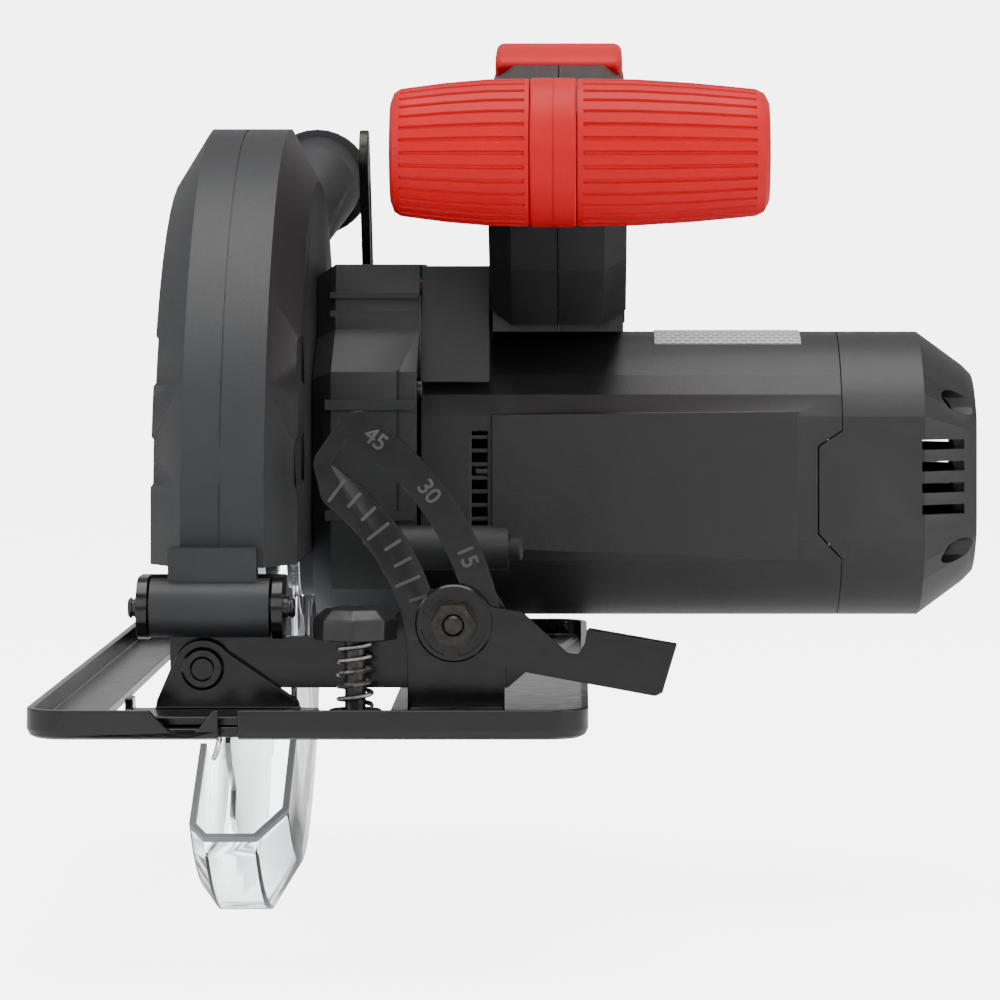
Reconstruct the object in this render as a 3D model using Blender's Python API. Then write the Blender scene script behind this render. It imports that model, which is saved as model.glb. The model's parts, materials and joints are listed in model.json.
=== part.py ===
"""Corded circular saw, 235 mm blade: base, tilting and plunging saw body, guards, drive train and handles.

Frame: origin on the base's flat underside, right of the blade, +X towards the motor's end, +Y
towards the rear of the saw, +Z up. The drawing below measures X from the base's middle line, and
DATUM moves it. Every helper takes millimetres and converts once, in solid().
"""

import math

import bmesh
import bpy
from mathutils import Matrix, Vector

MM = 0.001
DATUM = Vector((45.0, 0.0, 0.0))           # the origin, as the drawing measures it
GAP = 0.3                                  # air between pieces that touch on the real saw
SHEET = 3.0                                # pressed steel of the base and its brackets

BASE_LENGTH, BASE_WIDTH, RIM_HEIGHT = 335.0, 164.0, 8.7
BASE_CORNER = 12.0
FRONT_EDGE = -BASE_LENGTH / 2
OPENING_X, OPENING_Y = (-63.5, 22.0), (-123.0, 118.0)

BLADE_R, BLADE_PLATE = 117.5, 1.8
BLADE_X, BLADE_Y, BLADE_Z = -27.0, -8.0, 51.7
TEETH = 24

GUARD_R, GUARD_WALL = 130.5, 3.5
GUARD_FRONT, GUARD_FLOOR = -136.0, 47.8
GUARD_X = (-49.5, -39.0, -14.3, -5.5)      # outer edge, flat crown from and to, inner edge
GUARD_SHOULDER = 17.0                      # how far the chamfers drop below the crown
LOWER_GUARD_R, LOWER_WALL = 122.5, 2.0
LOWER_GUARD_FROM, LOWER_GUARD_TO = 217.0, 395.0
HUB_BOSS_R = 21.4

MODULE, PINION_TEETH, GEAR_TEETH = 1.25, 10, 44
CENTRE_DISTANCE = MODULE * (PINION_TEETH + GEAR_TEETH) / 2
MOTOR_Z = 68.9
MESH_ANGLE = math.asin((MOTOR_Z - BLADE_Z) / CENTRE_DISTANCE)
MOTOR_Y = BLADE_Y + CENTRE_DISTANCE * math.cos(MESH_ANGLE)
MOTOR_R, MOTOR_FLAT, CASE_WALL = 47.0, 41.5, 3.0
SPLIT_X, CAP_X, CAP_BEND_X, END_X = 28.1, 164.4, 191.0, 209.0

BEVEL_X, BEVEL_Z = -32.5, 17.8             # tilt axis, along Y
DEPTH_Y, DEPTH_Z = -139.8, 36.3            # depth axis, along X
BRACKET_Y = -134.0                         # front face of the base's front bracket and quadrant
WEB_Y = -130.5                             # front face of the tilting bracket
REAR_WEB_Y, REAR_BRACKET_Y = 127.0, 130.5
BARREL_R, BARREL_X = 8.75, (-47.2, -12.0)
PIN_R = 3.1

QUADRANT_R = (60.8, 89.9)
SLOT_R, SLOT_WIDTH = 75.9, 8.5
BOLT_ANGLE, BEVEL_LIMIT = 10.4, 45.0
SLOT_END = BOLT_ANGLE + BEVEL_LIMIT + 2.7
BOLT_X = BEVEL_X + SLOT_R * math.cos(math.radians(BOLT_ANGLE))
BOLT_Z = BEVEL_Z + SLOT_R * math.sin(math.radians(BOLT_ANGLE))

GUIDE_R, GUIDE_WIDTH, GUIDE_X = 225.0, 17.0, 5.5
GUIDE_BOLT_ANGLE, GUIDE_TOP_ANGLE = 6.0, 38.0
LOCK_Y = DEPTH_Y + GUIDE_R * math.cos(math.radians(GUIDE_BOLT_ANGLE))
LOCK_Z = DEPTH_Z + GUIDE_R * math.sin(math.radians(GUIDE_BOLT_ANGLE))

KNOB_X, KNOB_Y, KNOB_R = 13.5, -147.2, 12.5
HANDLE_X, HANDLE_WIDTH = 72.5, 43.4
GRIP_Y, GRIP_Z, GRIP_R = -78.0, 172.5, 22.9
GRIP_X = (20.9, 63.8, 78.7, 138.0)         # outer end, sleeve from and to, outer end

TRIGGER_PIVOT, LOCK_OFF = (92.5, 179.0), (46.0, 186.3)
SPOUT = (-12.5, 167.0)

SCENE = bpy.context.scene.collection
MATERIALS = {}


def clear_scene():
    for obj in list(bpy.data.objects):
        bpy.data.objects.remove(obj, do_unlink=True)


def material(name, colour, roughness, metallic=0.0, alpha=1.0):
    made = bpy.data.materials.new(name)
    made.use_nodes = True
    shader = made.node_tree.nodes["Principled BSDF"]
    shader.inputs["Base Color"].default_value = (*colour, 1.0)
    shader.inputs["Roughness"].default_value = roughness
    shader.inputs["Metallic"].default_value = metallic
    shader.inputs["Alpha"].default_value = alpha
    MATERIALS[name] = made


def make_materials():
    material("black_nylon", (0.028, 0.028, 0.029), 0.55)
    material("dark_nylon", (0.045, 0.045, 0.047), 0.5)
    material("red_rubber", (0.72, 0.012, 0.02), 0.5)
    material("black_enamel", (0.008, 0.008, 0.008), 0.18)
    material("zinc_steel", (0.42, 0.41, 0.39), 0.3, 1.0)
    material("blued_steel", (0.08, 0.08, 0.08), 0.35, 1.0)
    material("blade_steel", (0.55, 0.55, 0.56), 0.28, 1.0)
    material("clear_plastic", (0.85, 0.87, 0.88), 0.08, 0.0, 0.35)
    material("copper_wire", (0.6, 0.25, 0.1), 0.35, 1.0)
    material("core_steel", (0.3, 0.3, 0.31), 0.4, 1.0)
    material("carbon", (0.03, 0.03, 0.032), 0.7)
    material("label_film", (0.5, 0.5, 0.52), 0.35)


def solid(name, bm, finish):
    """Turns a bmesh in millimetres into the named object, in metres, with its faces pointing out."""
    bmesh.ops.remove_doubles(bm, verts=bm.verts, dist=0.0005)
    bmesh.ops.recalc_face_normals(bm, faces=bm.faces)
    mesh = bpy.data.meshes.new(name)
    bm.to_mesh(mesh)
    bm.free()
    mesh.transform(Matrix.Scale(MM, 4) @ Matrix.Translation(-DATUM))
    mesh.materials.append(MATERIALS[finish])
    obj = bpy.data.objects.new(name, mesh)
    SCENE.objects.link(obj)
    return obj


def place(axis, along, a, b):
    """The point at along on the axis and (a, b) on the two axes across it, in X, Y, Z order."""
    return {"X": (along, a, b), "Y": (a, along, b), "Z": (a, b, along)}[axis]


def loft(name, loops, finish, ring=False):
    """Joins loops of equal point count; a ring joins the last to the first, or else both ends are capped."""
    bm = bmesh.new()
    rows = [[bm.verts.new(point) for point in loop] for loop in loops]
    pairs = list(zip(rows, rows[1:]))
    if ring:
        pairs.append((rows[-1], rows[0]))
    else:
        bm.faces.new(rows[0])
        bm.faces.new(rows[-1])
    count = len(loops[0])
    for low, high in pairs:
        for i in range(count):
            j = (i + 1) % count
            bm.faces.new((low[i], low[j], high[j], high[i]))
    return solid(name, bm, finish)


def prism(name, outline, axis, low, high, finish):
    """An outline across the axis, extruded from low to high."""
    bm = bmesh.new()
    face = bm.faces.new([bm.verts.new(place(axis, low, a, b)) for a, b in outline])
    grown = bmesh.ops.extrude_face_region(bm, geom=[face])["geom"]
    moved = [item for item in grown if isinstance(item, bmesh.types.BMVert)]
    bmesh.ops.translate(bm, verts=moved, vec=place(axis, high - low, 0.0, 0.0))
    return solid(name, bm, finish)


def box(name, x, y, z, finish):
    return prism(name, [(x[0], y[0]), (x[1], y[0]), (x[1], y[1]), (x[0], y[1])], "Z", z[0], z[1], finish)


def turned(name, profile, axis, centre, finish, steps=32, closed=False):
    """Spins (radius, along) points about the axis through centre; closed joins the profile into a ring."""
    bm = bmesh.new()
    points = [bm.verts.new(place(axis, along, centre[0] + r, centre[1])) for r, along in profile]
    edges = [bm.edges.new(pair) for pair in zip(points, points[1:])]
    if closed:
        edges.append(bm.edges.new((points[-1], points[0])))
    bmesh.ops.spin(
        bm, geom=points + edges, cent=place(axis, 0.0, *centre), axis=place(axis, 1.0, 0.0, 0.0),
        angle=math.tau, steps=steps, use_merge=True)
    return solid(name, bm, finish)


def disc(name, r, low, high, axis, centre, finish, steps=32, hole=0.0, chamfer=0.0):
    """A plain round or a washer, with an optional chamfer on both outer edges."""
    outer = [(r - chamfer, low), (r, low + chamfer), (r, high - chamfer), (r - chamfer, high)]
    if chamfer == 0.0:
        outer = [(r, low), (r, high)]
    ends = [(hole, low)], [(hole, high)]
    return turned(name, ends[0] + outer + ends[1], axis, centre, finish, steps, closed=hole > 0.0)


def boolean(obj, other, operation):
    """Cuts other out of obj or joins it on; other becomes a hidden guide."""
    other.hide_render = True
    other.display_type = "WIRE"
    modifier = obj.modifiers.new(other.name, "BOOLEAN")
    modifier.operation = operation
    modifier.solver = "EXACT"
    modifier.object = other


def cut(obj, *others):
    for other in others:
        boolean(obj, other, "DIFFERENCE")


def join(obj, *others):
    for other in others:
        boolean(obj, other, "UNION")


def smooth(*objects):
    for obj in objects:
        obj.data.shade_smooth()
        obj.data.set_sharp_from_angle(angle=math.radians(35))


def arc(centre, r, start, stop, steps):
    """Points on a circle from start to stop degrees, both ends included."""
    turn = [math.radians(start + (stop - start) * i / steps) for i in range(steps + 1)]
    return [(centre[0] + r * math.cos(t), centre[1] + r * math.sin(t)) for t in turn]


def rounded_rectangle(x, y, r, steps=4):
    points = arc((x[1] - r, y[1] - r), r, 0, 90, steps) + arc((x[0] + r, y[1] - r), r, 90, 180, steps)
    return points + arc((x[0] + r, y[0] + r), r, 180, 270, steps) + arc((x[1] - r, y[0] + r), r, 270, 360, steps)


def hexagon(centre, across_flats):
    return arc(centre, across_flats / math.sqrt(3), 0, 300, 5)


def pivot(name, location, parent=None):
    """An empty on a joint's axis."""
    empty = bpy.data.objects.new(name, None)
    empty.empty_display_size = 0.01
    SCENE.objects.link(empty)
    world = (Vector(location) - DATUM) * MM
    empty["world"] = tuple(world)
    empty.parent = parent
    empty.location = world - (Vector(parent["world"]) if parent else Vector())
    return empty


def ride(empty, *objects):
    """Parents pieces, whose meshes hold their places, to the empty of their joint."""
    for obj in objects:
        obj.parent = empty
        obj.location = -Vector(empty["world"])


# ---- base ----------------------------------------------------------------------------------


def base_loop(inset, z):
    half_x, half_y = BASE_WIDTH / 2 - inset, BASE_LENGTH / 2 - inset
    outline = rounded_rectangle((-half_x, half_x), (-half_y, half_y), BASE_CORNER - inset, 5)
    return [(x, y, z) for x, y in outline]


def base_plate():
    """A pressed tray: flat floor, turned-up rim, blade opening, sight notches at the front."""
    fillet = 2.6
    loops = [base_loop(fillet, 0.0), base_loop(fillet * 0.3, fillet * 0.3), base_loop(0.0, fillet)]
    loops += [base_loop(0.0, RIM_HEIGHT), base_loop(2.2, RIM_HEIGHT), base_loop(2.2, SHEET)]
    plate = loft("base_plate", loops, "black_enamel")
    opening = prism(
        "cut_opening", rounded_rectangle(OPENING_X, OPENING_Y, 6.0), "Z", -1.0, 30.0, "black_enamel")
    notch = [(-46.0, 9.5), (-38.2, 1.2), (-32.4, 1.2), (-25.9, 9.5)]
    sight = prism("cut_sight_notch", notch, "Y", FRONT_EDGE - 1.0, FRONT_EDGE + 4.0, "black_enamel")
    kerf = box("cut_kerf_slot", (-25.2, -19.6), (FRONT_EDGE - 1.0, FRONT_EDGE + 9.0), (-1.0, 9.5), "black_enamel")
    cut(plate, opening, sight, kerf)
    for index, y in enumerate((-152.0, 20.0)):
        slot = box("cut_fence_slot_%d" % index, (62.0, 65.5), (y, y + 22.0), (-1.0, 4.0), "black_enamel")
        cut(plate, slot)
    return plate


def pivot_bracket(name, face_y, towards):
    """A triangular ear around the tilt axis, on a foot flange that lies on the base floor."""
    ear = [(-47.0, SHEET + GAP), (-46.1, 8.5)] + arc((BEVEL_X, BEVEL_Z), 8.8, 155, 35, 8)
    ear += [(-4.0, 8.2), (-3.0, SHEET + GAP)]
    back = face_y + SHEET
    bracket = prism(name, ear, "Y", face_y, back, "black_enamel")
    flange_y = (back - 27.0, back) if towards < 0 else (face_y, face_y + 24.0)
    foot = box("join_foot_" + name, (-55.0, 2.0 if towards < 0 else 6.0), flange_y, (SHEET + GAP, SHEET + GAP + 2.7),
               "black_enamel")
    join(bracket, foot)
    if towards < 0:
        tab = box("join_tab_" + name, (-55.0, -52.6), (back - 9.0, back), (SHEET + GAP + 1.0, 9.6), "black_enamel")
        join(bracket, tab)
    hole = disc("cut_pivot_" + name, PIN_R + GAP, face_y - 2.0, back + 2.0, "Y", (BEVEL_X, BEVEL_Z), "black_enamel", 24)
    cut(bracket, hole)
    return bracket


def bevel_pin(name, head_y, tail_y, towards):
    """The rivet on the tilt axis: a rolled head on the outside and a plain shank."""
    head = 1.8
    step = head * towards
    profile = [(0.0, head_y + step * 0.4), (3.2, head_y + step * 0.4), (3.6, head_y + step), (5.6, head_y + step)]
    profile += [(6.4, head_y + step * 0.5), (6.4, head_y), (PIN_R, head_y), (PIN_R, tail_y), (0.0, tail_y)]
    pin = turned(name, profile, "Y", (BEVEL_X, BEVEL_Z), "black_enamel", 28)
    smooth(pin)
    return pin


def quadrant_outline():
    """The graduated sector: outer arc, cropped top corner, inner arc and its straight foot."""
    centre = (BEVEL_X, BEVEL_Z)
    outer = arc(centre, QUADRANT_R[1], -4.5, SLOT_END + 0.4, 18)
    crop = []
    for r, angle in ((87.5, 2.0), (84.0, 3.0), (71.5, 4.0), (69.0, 3.6), (61.5, -3.0)):
        turn = math.radians(SLOT_END + angle)
        crop.append((centre[0] + r * math.cos(turn), centre[1] + r * math.sin(turn)))
    inner = arc(centre, QUADRANT_R[0], SLOT_END - 5.0, -1.0, 12)
    foot_z = SHEET + GAP
    return outer + crop + inner + [(inner[-1][0], foot_z), (outer[0][0], foot_z)]


def bevel_quadrant():
    """The tilt scale on the base, with its arc slot and a foot flange with a pressed gusset."""
    plate = prism("bevel_quadrant", quadrant_outline(), "Y", BRACKET_Y, BRACKET_Y + SHEET, "black_enamel")
    centre = (BEVEL_X, BEVEL_Z)
    half = SLOT_WIDTH / 2
    slot = arc(centre, SLOT_R + half, BOLT_ANGLE - 5.0, SLOT_END, 16)
    slot += arc(centre, SLOT_R - half, SLOT_END, BOLT_ANGLE - 5.0, 16)
    cut(plate, prism("cut_bevel_slot", slot, "Y", BRACKET_Y - 2.0, BRACKET_Y + SHEET + 2.0, "black_enamel"))
    foot = box("join_quadrant_foot", (29.0, 56.5), (BRACKET_Y - 18.0, BRACKET_Y + SHEET),
               (SHEET + GAP, SHEET + GAP + 2.7), "black_enamel")
    join(plate, foot)
    return plate


def spring_coil(name, centre, low, high, mean_r, wire_r, turns, finish, axis="Z", sides=6, steps=12):
    """A compression spring: a round wire wound into a helix, as one curve with filled ends."""
    curve = bpy.data.curves.new(name, "CURVE")
    curve.dimensions = "3D"
    curve.bevel_depth = wire_r * MM
    curve.bevel_resolution = max(0, sides // 2 - 2)
    curve.use_fill_caps = True
    spline = curve.splines.new("POLY")
    count = turns * steps + 1
    spline.points.add(count - 1)
    for i in range(count):
        turn = math.tau * i / steps
        along = low + wire_r + (high - low - 2 * wire_r) * i / (count - 1)
        point = place(axis, along, centre[0] + mean_r * math.cos(turn), centre[1] + mean_r * math.sin(turn))
        spline.points[i].co = (*((Vector(point) - DATUM) * MM), 1.0)
    curve.materials.append(MATERIALS[finish])
    obj = bpy.data.objects.new(name, curve)
    SCENE.objects.link(obj)
    return obj


def fence_clamp():
    """The rip fence's clamp: a lobed knob on a screw, kept up by a spring round the screw."""
    centre = (KNOB_X, KNOB_Y)
    seat_top = 7.2
    seat = turned("fence_screw_seat", [(0.0, SHEET + GAP), (9.0, SHEET + GAP), (7.6, seat_top), (0.0, seat_top)],
                  "Z", centre, "black_enamel", 24)
    cut(seat, disc("cut_screw_seat", 3.6, 0.0, 12.0, "Z", centre, "black_enamel", 20))
    lobes = [(KNOB_X + (KNOB_R - 1.3 * (i % 2)) * math.cos(math.tau * i / 16),
              KNOB_Y + (KNOB_R - 1.3 * (i % 2)) * math.sin(math.tau * i / 16)) for i in range(16)]
    inner = [(KNOB_X + 0.72 * (x - KNOB_X), KNOB_Y + 0.72 * (y - KNOB_Y)) for x, y in lobes]
    loops = [[(x, y, 27.6) for x, y in lobes], [(x, y, 33.8) for x, y in lobes], [(x, y, 36.8) for x, y in inner]]
    knob = loft("fence_clamp_knob", loops, "dark_nylon")
    cut(knob, disc("cut_knob_bore", 3.4, 20.0, 34.0, "Z", centre, "dark_nylon", 20))
    screw = disc("fence_clamp_screw", 3.1, 3.6, 33.5, "Z", centre, "zinc_steel", 20, chamfer=0.5)
    spring = spring_coil("fence_clamp_spring", centre, seat_top + GAP, 27.3, 4.9, 0.75, 5, "zinc_steel")
    return seat, knob, screw, spring


# ---- tilting frame -------------------------------------------------------------------------


def barrel_ear(name, x):
    """One ear of the tilting bracket: a round eye on the depth axis, standing off the web."""
    bottom = DEPTH_Z - 9.2
    outline = arc((DEPTH_Y, DEPTH_Z), 9.2, 270, 90, 12) + [(WEB_Y + SHEET, DEPTH_Z + 9.2), (WEB_Y + SHEET, bottom)]
    return prism(name, outline, "X", x, x + 3.2, "black_enamel")


def front_tilt_bracket():
    """Web behind the base bracket and the quadrant, with two ears that carry the depth pin."""
    web = [(-42.5, 14.0), (-40.0, 11.8), (58.0, 11.8), (64.0, 17.0), (64.0, 24.0), (54.0, 41.0), (32.0, 41.0)]
    web += [(18.0, 27.1), (-8.0, 27.1), (-8.0, 45.5), (-51.0, 45.5), (-51.0, 27.1), (-42.5, 27.1)]
    bracket = prism("front_tilt_bracket", web, "Y", WEB_Y, WEB_Y + SHEET, "black_enamel")
    join(bracket, barrel_ear("join_ear_left", -51.0), barrel_ear("join_ear_right", -11.2))
    pin_hole = disc("cut_ear_holes", PIN_R + GAP, -60.0, 0.0, "X", (DEPTH_Y, DEPTH_Z), "black_enamel", 24)
    tilt_hole = disc("cut_web_pivot", PIN_R + GAP, WEB_Y - 2, WEB_Y + 5, "Y", (BEVEL_X, BEVEL_Z), "black_enamel", 24)
    bolt_hole = disc("cut_web_bolt", 3.3, WEB_Y - 2, WEB_Y + 5, "Y", (BOLT_X, BOLT_Z), "black_enamel", 20)
    cut(bracket, pin_hole, tilt_hole, bolt_hole)
    return bracket


def rear_tilt_bracket():
    """Rear arm on the tilt axis, with a flange bent forward beside the depth guide."""
    arm = arc((BEVEL_X, BEVEL_Z), 10.0, 110, 250, 8) + [(GUIDE_X - GAP, 9.0), (GUIDE_X - GAP, 27.0)]
    bracket = prism("rear_tilt_bracket", arm, "Y", REAR_WEB_Y, REAR_WEB_Y + SHEET, "black_enamel")
    flange = box("join_rear_flange", (GUIDE_X - GAP - SHEET, GUIDE_X - GAP), (101.0, REAR_WEB_Y + SHEET), (9.0, 27.0),
                 "black_enamel")
    join(bracket, flange)
    hole = disc("cut_rear_pivot", PIN_R + GAP, REAR_WEB_Y - 2, REAR_WEB_Y + 5, "Y", (BEVEL_X, BEVEL_Z),
                "black_enamel", 24)
    cut(bracket, hole)
    return bracket


def depth_guide():
    """The curved bar centred on the depth axis, slotted for the lock bolt, with a foot on the rear flange."""
    centre = (DEPTH_Y, DEPTH_Z)
    half = GUIDE_WIDTH / 2
    tip = math.radians(GUIDE_TOP_ANGLE)
    tip_centre = (centre[0] + GUIDE_R * math.cos(tip), centre[1] + GUIDE_R * math.sin(tip))
    outline = arc(centre, GUIDE_R + half, -1.5, GUIDE_TOP_ANGLE, 20)
    outline += arc(tip_centre, half, GUIDE_TOP_ANGLE, GUIDE_TOP_ANGLE + 180, 8)[1:-1]
    outline += arc(centre, GUIDE_R - half, GUIDE_TOP_ANGLE, -6.0, 20)
    outline += [(82.0, 9.5), (126.0, 9.5), (126.0, 26.5), (98.0, 26.5)]
    guide = prism("depth_guide", outline, "X", GUIDE_X, GUIDE_X + SHEET, "zinc_steel")
    slot = arc(centre, GUIDE_R + 3.3, -0.8, 35.2, 18) + arc(centre, GUIDE_R - 3.3, 35.2, -0.8, 18)
    cut(guide, prism("cut_guide_slot", slot, "X", GUIDE_X - 2, GUIDE_X + 5, "zinc_steel"))
    return guide


def depth_pin():
    """The pin on the depth axis, with a groove and a rounded end at each side."""
    left, right = -54.0, -4.6
    profile = [(0.0, left), (2.4, left), (PIN_R, left + 0.7), (PIN_R, left + 1.2), (2.6, left + 1.2)]
    profile += [(2.6, left + 2.0), (PIN_R, left + 2.0), (PIN_R, right - 2.0), (2.6, right - 2.0)]
    profile += [(2.6, right - 1.2), (PIN_R, right - 1.2), (PIN_R, right - 0.7), (2.4, right), (0.0, right)]
    pin = turned("depth_pivot_pin", profile, "X", (DEPTH_Y, DEPTH_Z), "zinc_steel", 24)
    smooth(pin)
    return pin


def bevel_lock():
    """Bolt through the web and the quadrant's slot, nut in front, and the cranked lever between them."""
    centre = (BOLT_X, BOLT_Z)
    back = WEB_Y + SHEET + GAP
    profile = [(0.0, back + 3.0), (6.5, back + 3.0), (6.5, back), (3.0, back), (3.0, -147.2), (2.4, -147.9)]
    profile += [(0.0, -147.9)]
    bolt = turned("bevel_lock_bolt", profile, "Y", centre, "blued_steel", 24)
    nut = prism("bevel_lock_nut", hexagon(centre, 11.8), "Y", -145.4, -139.6, "blued_steel")
    cut(nut, disc("cut_nut_bore", 3.3, -150, -135, "Y", centre, "blued_steel", 20))
    collar = turned("join_nut_collar", [(3.3, -139.7), (6.9, -139.7), (6.9, -138.5), (3.3, -138.5)], "Y", centre,
                    "blued_steel", 24, closed=True)
    join(nut, collar)
    return bolt, nut, bevel_lever(centre)


def bevel_lever(centre):
    """Pressed lever: a round hub, a waist that steps forward, and a broad thumb plate with a folded edge."""
    x, z = centre
    waist = [(4.0, 10.5), (11.3, 4.7), (20.3, 3.2), (33.7, -9.0), (36.6, -9.4), (38.7, -6.1), (39.4, -2.2)]
    tail = [(40.2, -1.5), (66.1, -6.1), (65.7, -7.6), (61.8, -20.6), (59.6, -21.6), (22.8, -14.8), (11.3, -12.3)]
    outline = [(x + a, z + b) for a, b in waist + tail + [(1.2, -10.4)]]
    front, back = BRACKET_Y - GAP - 3.0, BRACKET_Y - GAP
    lever = prism("bevel_lock_lever", outline, "Y", front, back, "black_enamel")
    hub = disc("join_lever_hub", 11.5, BRACKET_Y - GAP - 4.1, back, "Y", centre, "black_enamel", 36, chamfer=0.5)
    edge = [(x + 41.0, z - 1.7), (x + 65.8, z - 6.0), (x + 65.5, z - 7.5), (x + 40.7, z - 3.2)]
    join(lever, hub, prism("join_lever_edge", edge, "Y", front - 6.0, back, "black_enamel"))
    cut(lever, disc("cut_lever_bore", 3.3, -150, -130, "Y", centre, "black_enamel", 20))
    return lever


# ---- guards --------------------------------------------------------------------------------


def guard_outline(drop, floor, steps=26):
    """The guard's outline across the blade axis: a crown of the given drop, flattened at the front."""
    r = GUARD_R - drop
    front = GUARD_FRONT + drop
    start = math.degrees(math.asin((GUARD_FLOOR - BLADE_Z) / r))
    points = arc((BLADE_Y, BLADE_Z), r, start, 178.0, steps)
    points = [(max(y, front), z) for y, z in points]
    return [(points[0][0], floor)] + points[1:] + [(front, floor)]


def duct(name, wall):
    """The chip channel that rises from the guard's crown to the spout, or its bore."""
    path = ((30.0, -22.0, 139.0, 11.0), (62.0, -17.0, 154.0, 13.6), (84.0, -13.5, 163.5, 15.4), (97.7, *SPOUT, 16.0))
    loops = []
    for y, x, z, r in path:
        along = y + (0.2 * wall if y == path[-1][0] else 0.0)
        loops.append([(a, along, b) for a, b in arc((x, z), r - wall, 0, 345, 23)])
    return loft(name, loops, "black_nylon")


def upper_guard():
    """Moulded guard: chamfered crown, open underside, hinge barrel at the front, stud boss at the rear."""
    left, crown_left, crown_right, right = GUARD_X
    sections = ((left, GUARD_SHOULDER), (crown_left, 0.0), (crown_right, 0.0), (right, GUARD_SHOULDER))
    guard = loft("upper_guard", [[(x, y, z) for y, z in guard_outline(drop, GUARD_FLOOR)] for x, drop in sections],
                 "black_nylon")
    inner = ((left + 3.0, GUARD_SHOULDER + 1.0), (crown_left + 1.0, GUARD_WALL), (crown_right - 1.0, GUARD_WALL),
             (right - 2.4, GUARD_SHOULDER + 1.0))
    cavity = [[(x, y, z) for y, z in guard_outline(drop, GUARD_FLOOR - 20.0)] for x, drop in inner]
    join(guard, duct("join_duct", 0.0))
    cut(guard, loft("cut_guard_cavity", cavity, "black_nylon"), duct("cut_duct", 2.6))
    neck = box("join_guard_neck", (-42.0, -16.0), (-143.5, -134.0), (38.0, 54.0), "black_nylon")
    barrel = disc("join_barrel", BARREL_R, *BARREL_X, "X", (DEPTH_Y, DEPTH_Z), "black_nylon", 32)
    boss = disc("join_stud_boss", 8.0, right - 1.0, GUIDE_X - 0.5, "X", (LOCK_Y, LOCK_Z), "black_nylon", 20)
    join(guard, neck, barrel, boss)
    arch = disc("cut_flange_arch", 33.0, left - 2.0, left + 5.0, "X", (BLADE_Y, BLADE_Z), "black_nylon", 32)
    hub = disc("cut_hub_hole", 30.0, right - 4.0, right + 2.0, "X", (BLADE_Y, BLADE_Z), "black_nylon", 32)
    bore = disc("cut_barrel_bore", PIN_R + GAP, -60.0, 0.0, "X", (DEPTH_Y, DEPTH_Z), "black_nylon", 20)
    stud = disc("cut_stud_bore", 3.3, right + 1.0, GUIDE_X + 2.0, "X", (LOCK_Y, LOCK_Z), "black_nylon", 16)
    centre = (BLADE_Y, BLADE_Z)
    slot = arc(centre, 99.0, 12.0, 136.0, 22) + arc(centre, 87.0, 136.0, 12.0, 22)
    lever_slot = prism("cut_lever_slot", slot, "X", left - 2.0, left + 5.0, "black_nylon")
    cut(guard, arch, hub, bore, stud, lever_slot)
    return guard


def dust_spout():
    """A round chip outlet at the guard's upper rear, flanged where it meets the guard."""
    profile = [(13.0, 98.0), (18.5, 98.0), (18.5, 101.5), (16.4, 103.0), (16.4, 122.0), (17.4, 123.0)]
    profile += [(17.4, 127.0), (14.6, 127.0), (13.0, 124.0)]
    spout = turned("dust_spout", profile, "Y", SPOUT, "black_nylon", 32, closed=True)
    smooth(spout)
    return spout


def lower_guard_loops():
    """The see-through guard's C-shaped section, swept about the blade axis."""
    r = LOWER_GUARD_R
    section = [(-41.0, 75.0), (-41.0, r - 7.0), (-36.0, r), (-19.7, r), (-10.8, 108.0), (-10.8, 24.0), (-12.8, 24.0)]
    section += [(-12.8, 107.2), (-20.7, r - LOWER_WALL), (-35.2, r - LOWER_WALL), (-39.0, r - 7.6), (-39.0, 75.0)]
    steps = 44
    loops = []
    for i in range(steps + 1):
        turn = math.radians(LOWER_GUARD_FROM + (LOWER_GUARD_TO - LOWER_GUARD_FROM) * i / steps)
        loops.append([(x, BLADE_Y + q * math.cos(turn), BLADE_Z + q * math.sin(turn)) for x, q in section])
    return loops


def lower_guard():
    guard = loft("lower_guard", lower_guard_loops(), "clear_plastic")
    lip = [(-150.0, -67.0), (-36.0, -10.0), (-36.0, 160.0), (-150.0, 160.0)]
    cut(guard, prism("cut_guard_lip", lip, "X", -60.0, 10.0, "clear_plastic"))
    ring = turned("join_guard_hub", [(HUB_BOSS_R + 0.4, -12.9), (28.0, -12.9), (28.0, -10.7), (HUB_BOSS_R + 0.4, -10.7)],
                  "X", (BLADE_Y, BLADE_Z), "clear_plastic", 40, closed=True)
    join(guard, ring)
    return guard


def guard_lever():
    """The thumb lever that lifts the lower guard, standing out through the upper guard's arc slot."""
    y, z = BLADE_Y + 93.0 * math.cos(math.radians(18.0)), BLADE_Z + 93.0 * math.sin(math.radians(18.0))
    lever = disc("guard_lever", 4.0, -56.0, -41.3, "X", (y, z), "dark_nylon", 20)
    pad = prism("join_lever_pad", rounded_rectangle((y - 9.0, y + 9.0), (z - 6.0, z + 6.0), 3.5), "X", -60.0, -55.5,
                "dark_nylon")
    join(lever, pad)
    return lever


# ---- casings -------------------------------------------------------------------------------


def case_outline(r, flat, steps=36):
    """The motor casing's section: a circle with flats at the front and the back."""
    turns = [math.tau * (i + 0.5) / steps for i in range(steps)]
    return [(MOTOR_Y + max(-flat, min(flat, r * math.cos(t))), MOTOR_Z + r * math.sin(t)) for t in turns]


def case_loop(x, inset, steps=36):
    return [(x, y, z) for y, z in case_outline(MOTOR_R - inset, MOTOR_FLAT - inset, steps)]


GEAR_CASE = [(-24, 18), (-46, 35), (-52, 54), (-52, 104), (-26, 117), (-22, 138), (44, 138), (62, 104),
             (65, 50), (46, 25), (14, 18)]


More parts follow.
